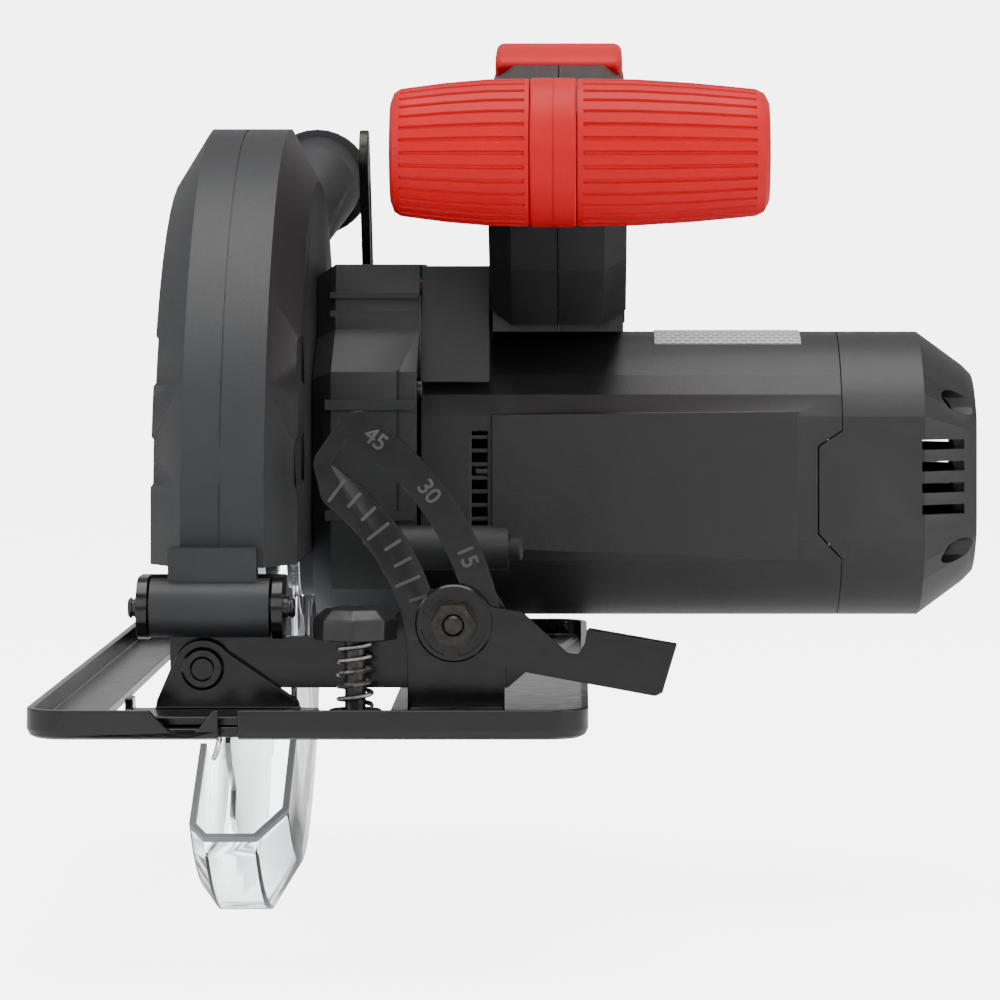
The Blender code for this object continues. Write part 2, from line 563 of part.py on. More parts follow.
def inset_outline(points, inset):
    """Moves every side of an outline, given clockwise or anticlockwise, in by the same distance."""
    area = sum(a[0] * b[1] - b[0] * a[1] for a, b in zip(points, points[1:] + points[:1]))
    side = 1.0 if area > 0 else -1.0
    result = []
    for before, here, after in zip(points[-1:] + points[:-1], points, points[1:] + points[:1]):
        first = (Vector(here) - Vector(before)).normalized()
        second = (Vector(after) - Vector(here)).normalized()
        normal_a, normal_b = Vector((-first.y, first.x)) * side, Vector((-second.y, second.x)) * side
        bisector = normal_a + normal_b
        result.append(tuple(Vector(here) + bisector * (inset / (1.0 + normal_a.dot(normal_b)))))
    return result


def gear_loop(x, inset):
    return [(x, y, z) for y, z in inset_outline(GEAR_CASE, inset)]


def gear_housing():
    """Cast cup behind the guard: bearing boss on its left wall, spindle-lock barrel at its front."""
    left, right = -5.2, SPLIT_X - 0.2
    outer = [gear_loop(left, 4.0), gear_loop(left + 6.0, 0.0), gear_loop(right, 0.0)]
    inner = [gear_loop(right, 3.5), gear_loop(left + 7.0, 3.5), gear_loop(left + 3.5, 7.0)]
    case = loft("gear_housing", outer + inner, "black_nylon")
    spindle = (BLADE_Y, BLADE_Z)
    boss = disc("join_spindle_boss", HUB_BOSS_R, -13.0, left + 2.0, "X", spindle, "black_nylon", 40)
    nose = disc("join_spindle_nose", 19.0, -15.0, -12.0, "X", spindle, "black_nylon", 40)
    pocket = disc("cut_bearing_pocket", 16.3, -12.3, 0.5, "X", spindle, "black_nylon", 32)
    shaft = disc("cut_spindle_hole", 12.0, -17.0, 2.0, "X", spindle, "black_nylon", 32)
    lock = disc("join_lock_barrel", 7.0, 18.0, 57.0, "X", (-60.0, 49.0), "black_nylon", 24)
    lock_web = box("join_lock_web", (21.0, SPLIT_X - 1.0), (-60.0, -50.0), (44.0, 54.0), "black_nylon")
    lock_bore = disc("cut_lock_bore", 4.3, 38.0, 60.0, "X", (-60.0, 49.0), "black_nylon", 20)
    join(case, boss, nose, lock, lock_web)
    cut(case, pocket, shaft, lock_bore)
    return case


def gear_cover():
    """The bearing plate that closes the gear housing, with a seat for each shaft's bearing."""
    cover = prism("gear_cover", inset_outline(GEAR_CASE, 3.9), "X", 19.0, 26.0, "core_steel")
    cut(cover, disc("cut_cover_motor", 11.3, 15.0, 30.0, "X", (MOTOR_Y, MOTOR_Z), "core_steel", 28),
        disc("cut_cover_spindle", 9.8, 15.0, 30.0, "X", (BLADE_Y, BLADE_Z), "core_steel", 28))
    return cover


def motor_housing():
    """The motor's tube, with a raised front panel and an air slot beside it."""
    wall = CASE_WALL
    loops = [case_loop(SPLIT_X + 0.1, 0.0), case_loop(CAP_X - 0.2, 0.0), case_loop(CAP_X - 0.2, wall),
             case_loop(SPLIT_X + 0.1, wall)]
    case = loft("motor_housing", loops, "black_nylon", ring=True)
    front = MOTOR_Y - MOTOR_FLAT
    panel = [(51.0, 46.0), (150.0, 42.5), (150.0, 90.5), (51.0, 89.5)]
    join(case, prism("join_front_panel", panel, "Y", front - 1.0, front + 1.0, "black_nylon"))
    saddle = [(-18.0, 137.5), (33.0, 137.5), (49.0, 100.0), (-24.0, 100.0)]
    inside = case_outline(MOTOR_R - wall, MOTOR_FLAT - wall)
    join(case, prism("join_saddle", saddle, "X", SPLIT_X + 0.1, 50.3, "black_nylon"))
    cut(case, prism("cut_saddle_inside", inside, "X", SPLIT_X - 1.0, 52.0, "black_nylon"))
    cut(case, box("cut_air_slot", (44.5, 49.6), (front - 5.0, front + 6.0), (53.0, 84.0), "black_nylon"))
    return case


def end_cap():
    """The rear cover of the motor: a short straight wall, a tapered nose and air slots round it."""
    outer = [case_loop(CAP_X, 0.0), case_loop(CAP_BEND_X, 0.0), case_loop(END_X - 3.0, 11.0), case_loop(END_X, 14.0)]
    inner = [case_loop(END_X - 3.5, 16.0), case_loop(END_X - 6.0, 14.5), case_loop(CAP_BEND_X - 1.5, CASE_WALL),
             case_loop(CAP_X, CASE_WALL)]
    cap = loft("end_cap", outer[::-1] + inner[::-1], "black_nylon")
    for index, z in enumerate((57.0, 64.0, 71.0, 78.0)):
        cut(cap, box("cut_cap_vent_%d" % index, (190.0, 204.5), (MOTOR_Y - 55.0, MOTOR_Y + 55.0), (z, z + 3.2),
                     "black_nylon"))
    return cap


def cap_screws():
    """Four screws in the end cap's corners; their heads stand in the tapered nose."""
    made = []
    for index, (side, up) in enumerate(((-1, 1), (-1, -1), (1, 1), (1, -1))):
        centre = (MOTOR_Y + side * 30.0, MOTOR_Z + up * 24.0)
        cut(bpy.data.objects["end_cap"],
            disc("cut_screw_well_%d" % index, 4.2, 186.0, 215.0, "X", centre, "black_nylon", 16))
        made.append(disc("end_cap_screw_%d" % (index + 1), 3.6, 187.5, 193.5, "X", centre, "zinc_steel", 16,
                         chamfer=0.6))
    return made


def label_plate():
    """The rating plate on top of the motor casing."""
    top = MOTOR_Z + MOTOR_R * math.cos(math.radians(5.0))
    return box("label_plate", (104.0, 158.0), (MOTOR_Y - 4.0, MOTOR_Y + 12.0), (top + 0.3, top + 0.9), "label_film")


# ---- handles -------------------------------------------------------------------------------

HANDLE = [(-37, 118.5), (-58, 136), (-72, 150), (-60, 160), (-58, 186), (-40, 195), (15, 204), (60, 209),
          (95, 204), (130, 186), (154, 158), (160, 136), (152, 119), (120, 107), (84, 104), (62, 108), (40, 118.5)]
FINGER_HOLE = [(24, 146), (34, 166), (60, 176), (92, 170), (118, 152), (126, 138), (112, 128), (60, 126), (34, 132)]


def handle_half(name, seam, outside, finish):
    """One clamshell of the handle, hollow towards the seam, chamfered towards its outside."""
    side = 1.0 if outside > seam else -1.0
    sections = ((seam, 0.0), (outside - side * 7.0, 0.0), (outside, 5.0))
    half = loft(name, [[(x, y, z) for y, z in inset_outline(HANDLE, inset)] for x, inset in sections], finish)
    hole_low, hole_high = sorted((seam - side * 5.0, outside + side * 5.0))
    cut(half, prism("cut_finger_hole_" + name, FINGER_HOLE, "X", hole_low, hole_high, finish))
    low, high = sorted((seam - side * 5.0, outside - side * 9.0))
    hollow = [(-40, 124), (-62, 146), (-52, 152), (-50, 184), (-30, 192), (4, 196), (14, 150), (0, 124)]
    grip = [(28, 182), (40, 190), (70, 197.5), (100, 192), (120, 180), (112, 172), (90, 180), (60, 186), (36, 178)]
    seat_low, seat_high = sorted((seam - side, outside + side * 9.0))
    cut(half, prism("cut_hollow_front_" + name, hollow, "X", low, high, finish))
    cut(half, disc("cut_grip_seat_" + name, GRIP_R + 0.5, seat_low, seat_high, "X", (GRIP_Y, GRIP_Z), finish, 36))
    cut(half, prism("cut_hollow_grip_" + name, grip, "X", low, high, finish))
    cut(half, trigger_slot(name))
    pin_low, pin_high = sorted((seam - side * 5.0, seam + side * 10.5))
    cut(half, disc("cut_trigger_pin_" + name, 1.9, pin_low, pin_high, "X", TRIGGER_PIVOT, finish, 16))
    if side < 0:
        button = disc("cut_lock_off", 4.8, outside - 4.0, seam + 2.0, "X", LOCK_OFF, finish, 24)
        cut(half, button)
    return half


def front_grip(name, start, stop):
    """One half of the barrel grip: fullest beside the sleeve, rounded at its free end."""
    direction = 1.0 if stop > start else -1.0
    length = abs(stop - start)
    profile = [(0.0, start), (GRIP_R, start)]
    for part, r in ((0.35, 22.6), (0.7, 21.3), (0.93, 19.8)):
        profile.append((r, start + direction * length * part))
    profile += [(18.6, stop - direction * 0.9), (15.5, stop), (0.0, stop)]
    grip = turned(name, profile, "X", (GRIP_Y, GRIP_Z), "red_rubber", 36)
    smooth(grip)
    return grip


def grip_sleeve():
    """The smooth red band in the middle of the front grip, where the post enters it."""
    profile = [(0.0, GRIP_X[1] + GAP), (GRIP_R + 0.2, GRIP_X[1] + GAP), (GRIP_R + 0.2, GRIP_X[2] - GAP)]
    sleeve = turned("grip_sleeve", profile + [(0.0, GRIP_X[2] - GAP)], "X", (GRIP_Y, GRIP_Z), "red_rubber", 36)
    smooth(sleeve)
    return sleeve


def handle_top_pad():
    """The red soft pad that wraps the top of the rear handle."""
    low, high = HANDLE_X - 19.0, HANDLE_X + 19.0
    path = [(18.0, 204.6), (60.0, 209.2), (94.0, 204.2)]
    rise = [(18.0, 205.0), (24.0, 209.8), (60.0, 213.6), (90.0, 209.2), (94.0, 204.5)]
    outline = path[::-1] + rise
    pad = prism("handle_top_pad", [(y, z + 0.3) for y, z in outline], "X", low, high, "red_rubber")
    return pad


def trigger_slot(name):
    """The slot for the trigger, from the hollow of the grip down into the finger hole."""
    low, high = HANDLE_X - 7.5, HANDLE_X + 7.5
    return box("cut_trigger_slot_" + name, (low, high), (59.5, 99.0), (160.0, 189.0), "dark_nylon")


def trigger():
    """The lever under the grip; it turns about its rear end."""
    outline = [(62.0, 183.0), (97.0, 183.5), (97.5, 175.0), (93.0, 167.5), (79.0, 162.0), (66.0, 162.5), (61.5, 168.0)]
    lever = prism("trigger", outline, "X", HANDLE_X - 6.5, HANDLE_X + 6.5, "dark_nylon")
    pin = disc("join_trigger_pin", 1.6, HANDLE_X - 10.0, HANDLE_X + 10.0, "X", TRIGGER_PIVOT, "dark_nylon", 16)
    join(lever, pin)
    return lever


def lock_off_button():
    return disc("lock_off_button", 4.4, HANDLE_X - HANDLE_WIDTH / 2 - 4.0, HANDLE_X - 9.0, "X", LOCK_OFF, "carbon", 24,
                chamfer=0.8)


def spindle_lock_button():
    return disc("spindle_lock_button", 4.0, 44.0, 61.5, "X", (-60.0, 49.0), "carbon", 24, chamfer=0.8)


def depth_lock():
    """The stud through the depth guide's slot, and the lever that tightens on it."""
    centre = (LOCK_Y, LOCK_Z)
    stud = disc("depth_lock_stud", 3.0, -3.8, 18.0, "X", centre, "zinc_steel", 20, chamfer=0.5)
    lever = disc("depth_lock_lever", 8.5, 8.8, 14.0, "X", centre, "dark_nylon", 28, hole=3.3, chamfer=0.5)
    reach = [(6.5, 5.0), (30.0, 21.0), (44.0, 24.0), (47.0, 18.0), (43.0, 12.5), (12.0, -4.5), (4.0, -3.0)]
    arm = prism("join_depth_arm", [(LOCK_Y + a, LOCK_Z + b) for a, b in reach], "X", 10.0, 13.4, "dark_nylon")
    join(lever, arm)
    return stud, lever


def cord_gland():
    """The stub of the cord's strain relief at the handle's lower rear end."""
    profile = [(3.6, 160.5), (8.0, 160.5), (8.0, 166.0), (6.8, 168.0), (6.0, 182.0), (3.6, 182.0)]
    gland = turned("cord_gland", profile, "Y", (HANDLE_X, 140.0), "carbon", 24, closed=True)
    smooth(gland)
    return gland


# ---- drive train ---------------------------------------------------------------------------


def gear_outline(centre, teeth, phase):
    """A straight-toothed gear with trapezoid teeth, centred on the phase angle in radians."""
    pitch_r = MODULE * teeth / 2
    points = []
    for k in range(teeth):
        middle = phase + math.tau * k / teeth
        for r, width in ((pitch_r - 1.5, -2.3), (pitch_r + 1.1, -0.8), (pitch_r + 1.1, 0.8), (pitch_r - 1.5, 2.3)):
            turn = middle + width / 2 / r
            points.append((centre[0] + r * math.cos(turn), centre[1] + r * math.sin(turn)))
    return points


def spindle_gear():
    phase = MESH_ANGLE + math.pi / GEAR_TEETH
    gear = prism("spindle_gear", gear_outline((BLADE_Y, BLADE_Z), GEAR_TEETH, phase), "X", 5.0, 14.0, "core_steel")
    cut(gear, disc("cut_gear_bore", 7.3, 0.0, 20.0, "X", (BLADE_Y, BLADE_Z), "core_steel", 28))
    return gear


def pinion():
    phase = MESH_ANGLE + math.pi
    gear = prism("pinion", gear_outline((MOTOR_Y, MOTOR_Z), PINION_TEETH, phase), "X", 3.5, 16.0, "core_steel")
    cut(gear, disc("cut_pinion_bore", 3.1, 0.0, 20.0, "X", (MOTOR_Y, MOTOR_Z), "core_steel", 20))
    return gear


def spindle():
    """The output shaft: flange seat at the blade, gear journal, bearing end."""
    profile = [(0.0, -24.0), (6.0, -24.0), (6.0, -18.2), (7.5, -18.2), (7.5, 3.0), (7.0, 3.0), (7.0, 16.5)]
    profile += [(4.8, 16.5), (4.8, 26.5), (0.0, 26.5)]
    shaft = turned("spindle", profile, "X", (BLADE_Y, BLADE_Z), "core_steel", 28)
    smooth(shaft)
    return shaft


def bearing(name, bore, outside, low, high, centre):
    profile = [(bore, low), (outside, low), (outside, high), (bore, high)]
    ring = turned(name, profile, "X", centre, "zinc_steel", 28, closed=True)
    smooth(ring)
    return ring


def blade():
    """The saw blade: a thin plate with hooked teeth, each as wide as the kerf at its tip."""
    gullet = 8.0
    points = []
    for k in range(TEETH):
        turn = math.tau * k / TEETH
        for r, share in ((BLADE_R, 0.0), (BLADE_R - 1.2, 0.3), (BLADE_R - gullet, 0.78), (BLADE_R - gullet, 0.9)):
            angle = turn + share * math.tau / TEETH
            points.append((BLADE_Y + r * math.cos(angle), BLADE_Z + r * math.sin(angle)))
    plate = prism("blade", points, "X", BLADE_X - BLADE_PLATE / 2, BLADE_X + BLADE_PLATE / 2, "blade_steel")
    cut(plate, disc("cut_blade_bore", 5.3, -40.0, -10.0, "X", (BLADE_Y, BLADE_Z), "blade_steel", 28))
    return plate


def blade_clamp():
    """Inner flange, outer flange and the bolt that holds the blade on the spindle."""
    centre = (BLADE_Y, BLADE_Z)
    plate = BLADE_PLATE / 2
    inner = [(6.3, BLADE_X + plate + GAP), (19.0, BLADE_X + plate + GAP), (19.0, -22.0), (14.0, -18.6), (6.3, -18.6)]
    outer = [(3.9, BLADE_X - plate - GAP), (19.0, BLADE_X - plate - GAP), (19.0, -29.6), (12.0, -31.4), (3.9, -31.4)]
    inner_flange = turned("inner_flange", inner, "X", centre, "core_steel", 32, closed=True)
    outer_flange = turned("outer_flange", outer, "X", centre, "core_steel", 32, closed=True)
    head = prism("blade_bolt", hexagon(centre, 13.0), "X", -37.6, -31.7, "zinc_steel")
    join(head, disc("join_bolt_shank", 3.6, -32.5, -24.4, "X", centre, "zinc_steel", 20))
    smooth(inner_flange, outer_flange)
    return inner_flange, outer_flange, head


def fan_outline(centre):
    """Hub and eight straight vanes, seen along the shaft."""
    points = []
    for k in range(8):
        for r, width in ((11.0, -1.0), (34.5, -1.0), (34.5, 1.0), (11.0, 1.0)):
            turn = math.tau * k / 8 + width / r
            points.append((centre[0] + r * math.cos(turn), centre[1] + r * math.sin(turn)))
    return points


def armature():
    """The motor's turning pieces: shaft, laminated core with windings, commutator and fan."""
    centre = (MOTOR_Y, MOTOR_Z)
    profile = [(0.0, 3.0), (2.8, 3.0), (2.8, 17.5), (4.8, 17.5), (4.8, 26.5), (5.5, 26.5), (5.5, 148.0), (4.0, 148.0)]
    shaft = turned("armature_shaft", profile + [(4.0, 160.0), (0.0, 160.0)], "X", centre, "core_steel", 24)
    core = [(5.8, 50.0), (16.0, 50.0), (21.0, 58.0), (24.2, 58.0), (24.2, 116.0), (21.0, 116.0), (16.0, 123.0), (5.8, 123.0)]
    rotor = turned("rotor_core", core, "X", centre, "copper_wire", 32, closed=True)
    ring = [(5.8, 125.0), (14.0, 125.0), (14.0, 141.0), (5.8, 141.0)]
    commutator = turned("commutator", ring, "X", centre, "copper_wire", 32, closed=True)
    fan = prism("cooling_fan", fan_outline(centre), "X", 34.0, 45.0, "carbon")
    join(fan, disc("join_fan_plate", 36.0, 33.0, 34.6, "X", centre, "carbon", 36))
    cut(fan, disc("cut_fan_bore", 5.8, 30.0, 50.0, "X", centre, "carbon", 24))
    smooth(shaft, rotor, commutator)
    return shaft, rotor, commutator, fan


def stator():
    profile = [(25.2, 56.0), (37.6, 56.0), (37.6, 118.0), (25.2, 118.0)]
    core = turned("stator_core", profile, "X", (MOTOR_Y, MOTOR_Z), "core_steel", 36, closed=True)
    smooth(core)
    return core


def brush(name, side):
    y = sorted((MOTOR_Y + side * 14.4, MOTOR_Y + side * 30.0))
    return box(name, (129.0, 137.0), y, (MOTOR_Z - 3.2, MOTOR_Z + 3.2), "carbon")


def build():
    clear_scene()
    make_materials()
    base_plate()
    pivot_bracket("front_pivot_bracket", BRACKET_Y, -1)
    pivot_bracket("rear_pivot_bracket", REAR_BRACKET_Y, 1)
    bevel_quadrant()
    bevel_pin("front_bevel_pin", BRACKET_Y - GAP, WEB_Y + SHEET + 1.0, -1)
    bevel_pin("rear_bevel_pin", REAR_BRACKET_Y + SHEET + GAP, REAR_WEB_Y - 1.0, 1)
    _, knob, screw, _ = fence_clamp()
    knob_pivot = pivot("fence_knob_axis", (KNOB_X, KNOB_Y, 27.0))
    ride(knob_pivot, knob, screw)

    tilt = pivot("bevel_axis", (BEVEL_X, 0.0, BEVEL_Z))
    bolt, nut, lever = bevel_lock()
    ride(tilt, front_tilt_bracket(), rear_tilt_bracket(), depth_guide(), depth_pin(), bolt, nut)
    ride(pivot("bevel_lever_axis", (BOLT_X, BRACKET_Y, BOLT_Z), tilt), lever)

    body = pivot("depth_axis", (0.0, DEPTH_Y, DEPTH_Z), tilt)
    ride(body, upper_guard(), dust_spout(), gear_housing(), gear_cover(), motor_housing(), end_cap(), *cap_screws())
    left, right = HANDLE_X - HANDLE_WIDTH / 2, HANDLE_X + HANDLE_WIDTH / 2
    ride(body, label_plate(), handle_half("handle_left", HANDLE_X - 0.15, left, "dark_nylon"),
         handle_half("handle_right", HANDLE_X + 0.15, right, "dark_nylon"))
    ride(body, front_grip("front_grip_left", GRIP_X[1], GRIP_X[0]), grip_sleeve(),
         front_grip("front_grip_right", GRIP_X[2], GRIP_X[3]), handle_top_pad(), cord_gland(), stator())

    spin = pivot("spindle_axis", (BLADE_X, BLADE_Y, BLADE_Z), body)
    ride(spin, spindle(), spindle_gear(), blade(), *blade_clamp())
    ride(pivot("armature_axis", (60.0, MOTOR_Y, MOTOR_Z), body), pinion(), *armature())
    ride(pivot("lower_guard_axis", (BLADE_X, BLADE_Y, BLADE_Z), body), lower_guard(), guard_lever())
    ride(body, bearing("spindle_bearing", 7.9, 16.0, -12.0, -2.0, (BLADE_Y, BLADE_Z)))
    ride(body, bearing("spindle_end_bearing", 5.1, 9.5, 19.3, 25.8, (BLADE_Y, BLADE_Z)))
    ride(body, bearing("armature_bearing", 5.1, 11.0, 19.3, 25.8, (MOTOR_Y, MOTOR_Z)))
    ride(body, brush("brush_front", -1), brush("brush_rear", 1))
    switch = box("switch_module", (HANDLE_X - 8.5, HANDLE_X + 8.5), (64.0, 86.0), (189.3, 193.3), "carbon")
    stud, lock_lever = depth_lock()
    ride(body, switch, stud)
    ride(pivot("depth_lock_axis", (11.0, LOCK_Y, LOCK_Z), body), lock_lever)
    ride(pivot("trigger_axis", (HANDLE_X, *TRIGGER_PIVOT), body), trigger())
    ride(pivot("lock_off_axis", (50.0, *LOCK_OFF), body), lock_off_button())
    ride(pivot("spindle_lock_axis", (50.0, -60.0, 49.0), body), spindle_lock_button())


build()
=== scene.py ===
# %% [markdown]
# # The looks of a corded circular saw
# The working model of the saw is already built: steel base, tilting frame, guards, motor and handles,
# each a plain solid in its true place. This lesson gives those solids the rounded edges, the small
# moulded details and the finishes of the real saw. Every size is in metres, and `mm` turns
# millimetres into them, because a maker thinks of these pieces in millimetres.

# %% Load the working model
import json
import math

import bpy
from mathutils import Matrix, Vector


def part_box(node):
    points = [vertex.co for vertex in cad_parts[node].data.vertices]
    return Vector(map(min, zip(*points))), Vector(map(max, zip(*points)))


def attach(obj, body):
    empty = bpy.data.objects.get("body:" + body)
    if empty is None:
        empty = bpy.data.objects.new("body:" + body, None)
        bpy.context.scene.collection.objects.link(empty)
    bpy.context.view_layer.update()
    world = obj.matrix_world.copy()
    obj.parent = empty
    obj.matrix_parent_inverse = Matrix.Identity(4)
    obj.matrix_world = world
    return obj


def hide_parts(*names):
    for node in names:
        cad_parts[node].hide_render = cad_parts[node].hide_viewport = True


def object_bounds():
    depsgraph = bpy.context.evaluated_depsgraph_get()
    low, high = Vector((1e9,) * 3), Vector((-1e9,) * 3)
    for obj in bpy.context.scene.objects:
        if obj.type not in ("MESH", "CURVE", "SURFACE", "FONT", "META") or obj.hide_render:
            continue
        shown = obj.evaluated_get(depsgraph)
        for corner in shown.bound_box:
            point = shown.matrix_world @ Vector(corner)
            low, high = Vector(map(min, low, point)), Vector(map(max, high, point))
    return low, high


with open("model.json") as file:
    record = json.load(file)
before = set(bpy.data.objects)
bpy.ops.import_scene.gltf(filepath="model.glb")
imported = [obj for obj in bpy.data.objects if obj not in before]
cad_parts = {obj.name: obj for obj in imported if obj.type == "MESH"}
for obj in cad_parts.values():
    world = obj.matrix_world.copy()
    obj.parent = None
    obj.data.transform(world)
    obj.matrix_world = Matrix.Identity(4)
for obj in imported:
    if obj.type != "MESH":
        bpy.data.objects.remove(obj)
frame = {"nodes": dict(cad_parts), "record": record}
cad_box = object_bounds()
RECORD = frame["record"]
BODY_OF = {node: body for body, nodes in RECORD["behaviour"]["bodies"].items() for node in nodes}
SLOT_OF = {entry["node"]: entry["material_slot"] for entry in RECORD["subparts"]}

# %% [markdown]
# ## Small tools
# Blender's operators act on whatever is selected, and the freshly loaded nodes are all selected.
# So each tool below first deselects everything, then works on one object only. Faces are chosen in
# code by a test on their middle and their normal, the way a hand would click them one by one.

# %% Selecting, moving and applying
AXES = {"X": Vector((1, 0, 0)), "Y": Vector((0, 1, 0)), "Z": Vector((0, 0, 1))}
DATUM_X = 45.0
TURN_TO = {"X": (0, math.pi / 2, 0), "Y": (-math.pi / 2, 0, 0), "Z": (0, 0, 0)}


def mm(*values):
    """Millimetres to metres, for one value or for several."""
    scaled = [value / 1000 for value in values]
    return scaled[0] if len(scaled) == 1 else Vector(scaled)


def spot(x, y, z):
    """A place as the drawing gives it: its X starts at the base's middle line, DATUM_X left of the origin."""
    return mm(x - DATUM_X, y, z)


def only(obj):
    """Selects this object and nothing else."""
    if bpy.context.mode != "OBJECT":
        bpy.ops.object.mode_set(mode="OBJECT")
    bpy.ops.object.select_all(action="DESELECT")
    obj.select_set(True)
    bpy.context.view_layer.objects.active = obj


def settle(obj):
    """Puts the object's place, turn and size into its mesh, so that it sits at the origin."""
    only(obj)
    bpy.ops.object.transform_apply(location=True, rotation=True, scale=True)


def edit_faces(obj, chosen=None):
    """Enters edit mode in face select, with the faces picked for which chosen(middle, normal) holds."""
    only(obj)
    bpy.ops.object.mode_set(mode="EDIT")
    bpy.ops.mesh.select_mode(type="FACE")
    bpy.ops.mesh.select_all(action="SELECT" if chosen is None else "DESELECT")
    if chosen is not None:
        bpy.ops.object.mode_set(mode="OBJECT")
        for face in obj.data.polygons:
            face.select = bool(chosen(face.center * 1000 + DATUM_X * AXES["X"], face.normal))
        bpy.ops.object.mode_set(mode="EDIT")


def leave_edit():
    bpy.ops.object.mode_set(mode="OBJECT")


def modify(obj, kind, **settings):
    """Adds a modifier with its settings and applies it at once."""
    only(obj)
    modifier = obj.modifiers.new(kind.title(), kind)
    for key, value in settings.items():
        setattr(modifier, key, value)
    bpy.ops.object.modifier_apply(modifier=modifier.name)


def round_edges(obj, width, segments=2, angle=32):
    """Smooths the piece, then rounds its sharp edges and keeps the flat faces' shading flat."""
    smooth(obj, angle)
    modify(obj, "BEVEL", width=mm(width), segments=segments, limit_method="ANGLE",
           angle_limit=math.radians(angle), use_clamp_overlap=True, miter_outer="MITER_ARC",
           harden_normals=True)


def smooth(obj, angle=35):
    only(obj)
    bpy.ops.object.shade_smooth_by_angle(angle=math.radians(angle))


def combine(obj, tool, operation):
    """Cuts a tool's shape out of obj, or joins it on, and throws the tool away."""
    modify(obj, "BOOLEAN", object=tool, operation=operation, solver="EXACT")
    bpy.data.objects.remove(tool, do_unlink=True)


# %% [markdown]
# ## Starting shapes
# A block, a round bar and an outline pushed through are enough to start every piece. The outline
# starts as a flat plane whose corners are replaced, so that edit mode can extrude it like any face.

# %% Blocks, bars and pushed outlines
def block(name, x, y, z):
    """A cube primitive stretched between the given limits, in millimetres."""
    middle = spot((x[0] + x[1]) / 2, (y[0] + y[1]) / 2, (z[0] + z[1]) / 2)
    bpy.ops.mesh.primitive_cube_add(size=1, location=middle, scale=mm(x[1] - x[0], y[1] - y[0], z[1] - z[0]))
    made = bpy.context.object
    made.name = name
    settle(made)
    return made


def bar(name, radius, low, high, axis, centre, corners=48):
    """A cylinder primitive along an axis; centre holds its other two coordinates in X, Y, Z order."""
    along = (low + high) / 2
    place = {"X": (along, *centre), "Y": (centre[0], along, centre[1]), "Z": (*centre, along)}[axis]
    bpy.ops.mesh.primitive_cylinder_add(
        vertices=corners, radius=mm(radius), depth=mm(high - low), location=spot(*place),
        rotation=TURN_TO[axis])
    made = bpy.context.object
    made.name = name
    settle(made)
    return made


def pushed(name, outline, axis, low, high):
    """A flat outline on the plane across the axis, extruded from low to high."""
    place = {"X": lambda a, b: (low, a, b),
             "Y": lambda a, b: (a, low, b),
             "Z": lambda a, b: (a, b, low)}[axis]
    mesh = bpy.data.meshes.new(name)
    mesh.from_pydata([spot(*place(a, b)) for a, b in outline], [], [range(len(outline))])
    made = bpy.data.objects.new(name, mesh)
    bpy.context.scene.collection.objects.link(made)
    edit_faces(made)
    bpy.ops.mesh.extrude_region_move(TRANSFORM_OT_translate={"value": AXES[axis] * mm(high - low)})
    bpy.ops.mesh.select_all(action="SELECT")
    bpy.ops.mesh.normals_make_consistent(inside=False)
    leave_edit()
    return made


def arc(centre, radius, start, stop, steps):
    """Points round a centre, from start to stop degrees."""
    turns = [math.radians(start + (stop - start) * i / steps) for i in range(steps + 1)]
    return [(centre[0] + radius * math.cos(t), centre[1] + radius * math.sin(t)) for t in turns]


def copy_of(node, name):
    """A copy of a working solid with its triangles merged and its flat faces made whole again."""
    source = frame["nodes"][node]
    made = bpy.data.objects.new(name, source.data.copy())
    made.data.materials.clear()
    bpy.context.scene.collection.objects.link(made)
    edit_faces(made)
    bpy.ops.mesh.remove_doubles(threshold=mm(0.002))
    bpy.ops.mesh.dissolve_limited(angle_limit=math.radians(0.4))
    leave_edit()
    return made


def finish(obj, look, body, replaced=()):
    """Gives a finished piece its material, its body and the solids that it stands for."""
    settle(obj)
    obj.data.materials.clear()
    obj.data.materials.append(look)
    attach(obj, body)
    if replaced:
        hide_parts(*replaced)
    return obj


# %% [markdown]
# ## Finishes
# Each finish starts from what the real surface is and how it was made. Colours are written as sRGB
# hex values, as a paint chart gives them, and one function turns them into the linear values that
# the shader wants. One function adds a node and links it, so each finish reads as a short recipe.

# %% The node and colour helpers
def linear(hex_colour):
    """An sRGB hex colour as linear RGBA."""
    channels = [int(hex_colour[i:i + 2], 16) / 255 for i in (1, 3, 5)]
    return [c / 12.92 if c <= 0.04045 else ((c + 0.055) / 1.055) ** 2.4 for c in channels] + [1.0]


def add(tree, kind, inputs=None, **settings):
    """One node with its settings; an input is a value or another node's output socket."""
    node = tree.nodes.new(kind)
    for key, value in settings.items():
        setattr(node, key, value)
    for key, value in (inputs or {}).items():
        if isinstance(value, bpy.types.NodeSocket):
            tree.links.new(value, node.inputs[key])
        else:
            node.inputs[key].default_value = value
    return node


def new_look(name, **sockets):
    """A material with a Principled shader whose sockets are set by their names, _ for a space."""
    look = bpy.data.materials.new(name)
    look.use_nodes = True
    shader = look.node_tree.nodes["Principled BSDF"]
    for key, value in sockets.items():
        shader.inputs[key.replace("_", " ").title().replace("Ior", "IOR")].default_value = value
    return look, look.node_tree, shader


def grain(tree, size, detail=2.0, stretch=(1, 1, 1)):
    """Noise whose features are about size millimetres wide, stretched along the object's axes."""
    place = add(tree, "ShaderNodeTexCoord")
    scaled = add(tree, "ShaderNodeMapping", {"Vector": place.outputs["Object"], "Scale": stretch})
    return add(tree, "ShaderNodeTexNoise",
               {"Vector": scaled.outputs["Vector"], "Scale": 1000 / size, "Detail": detail, "Roughness": 0.6})


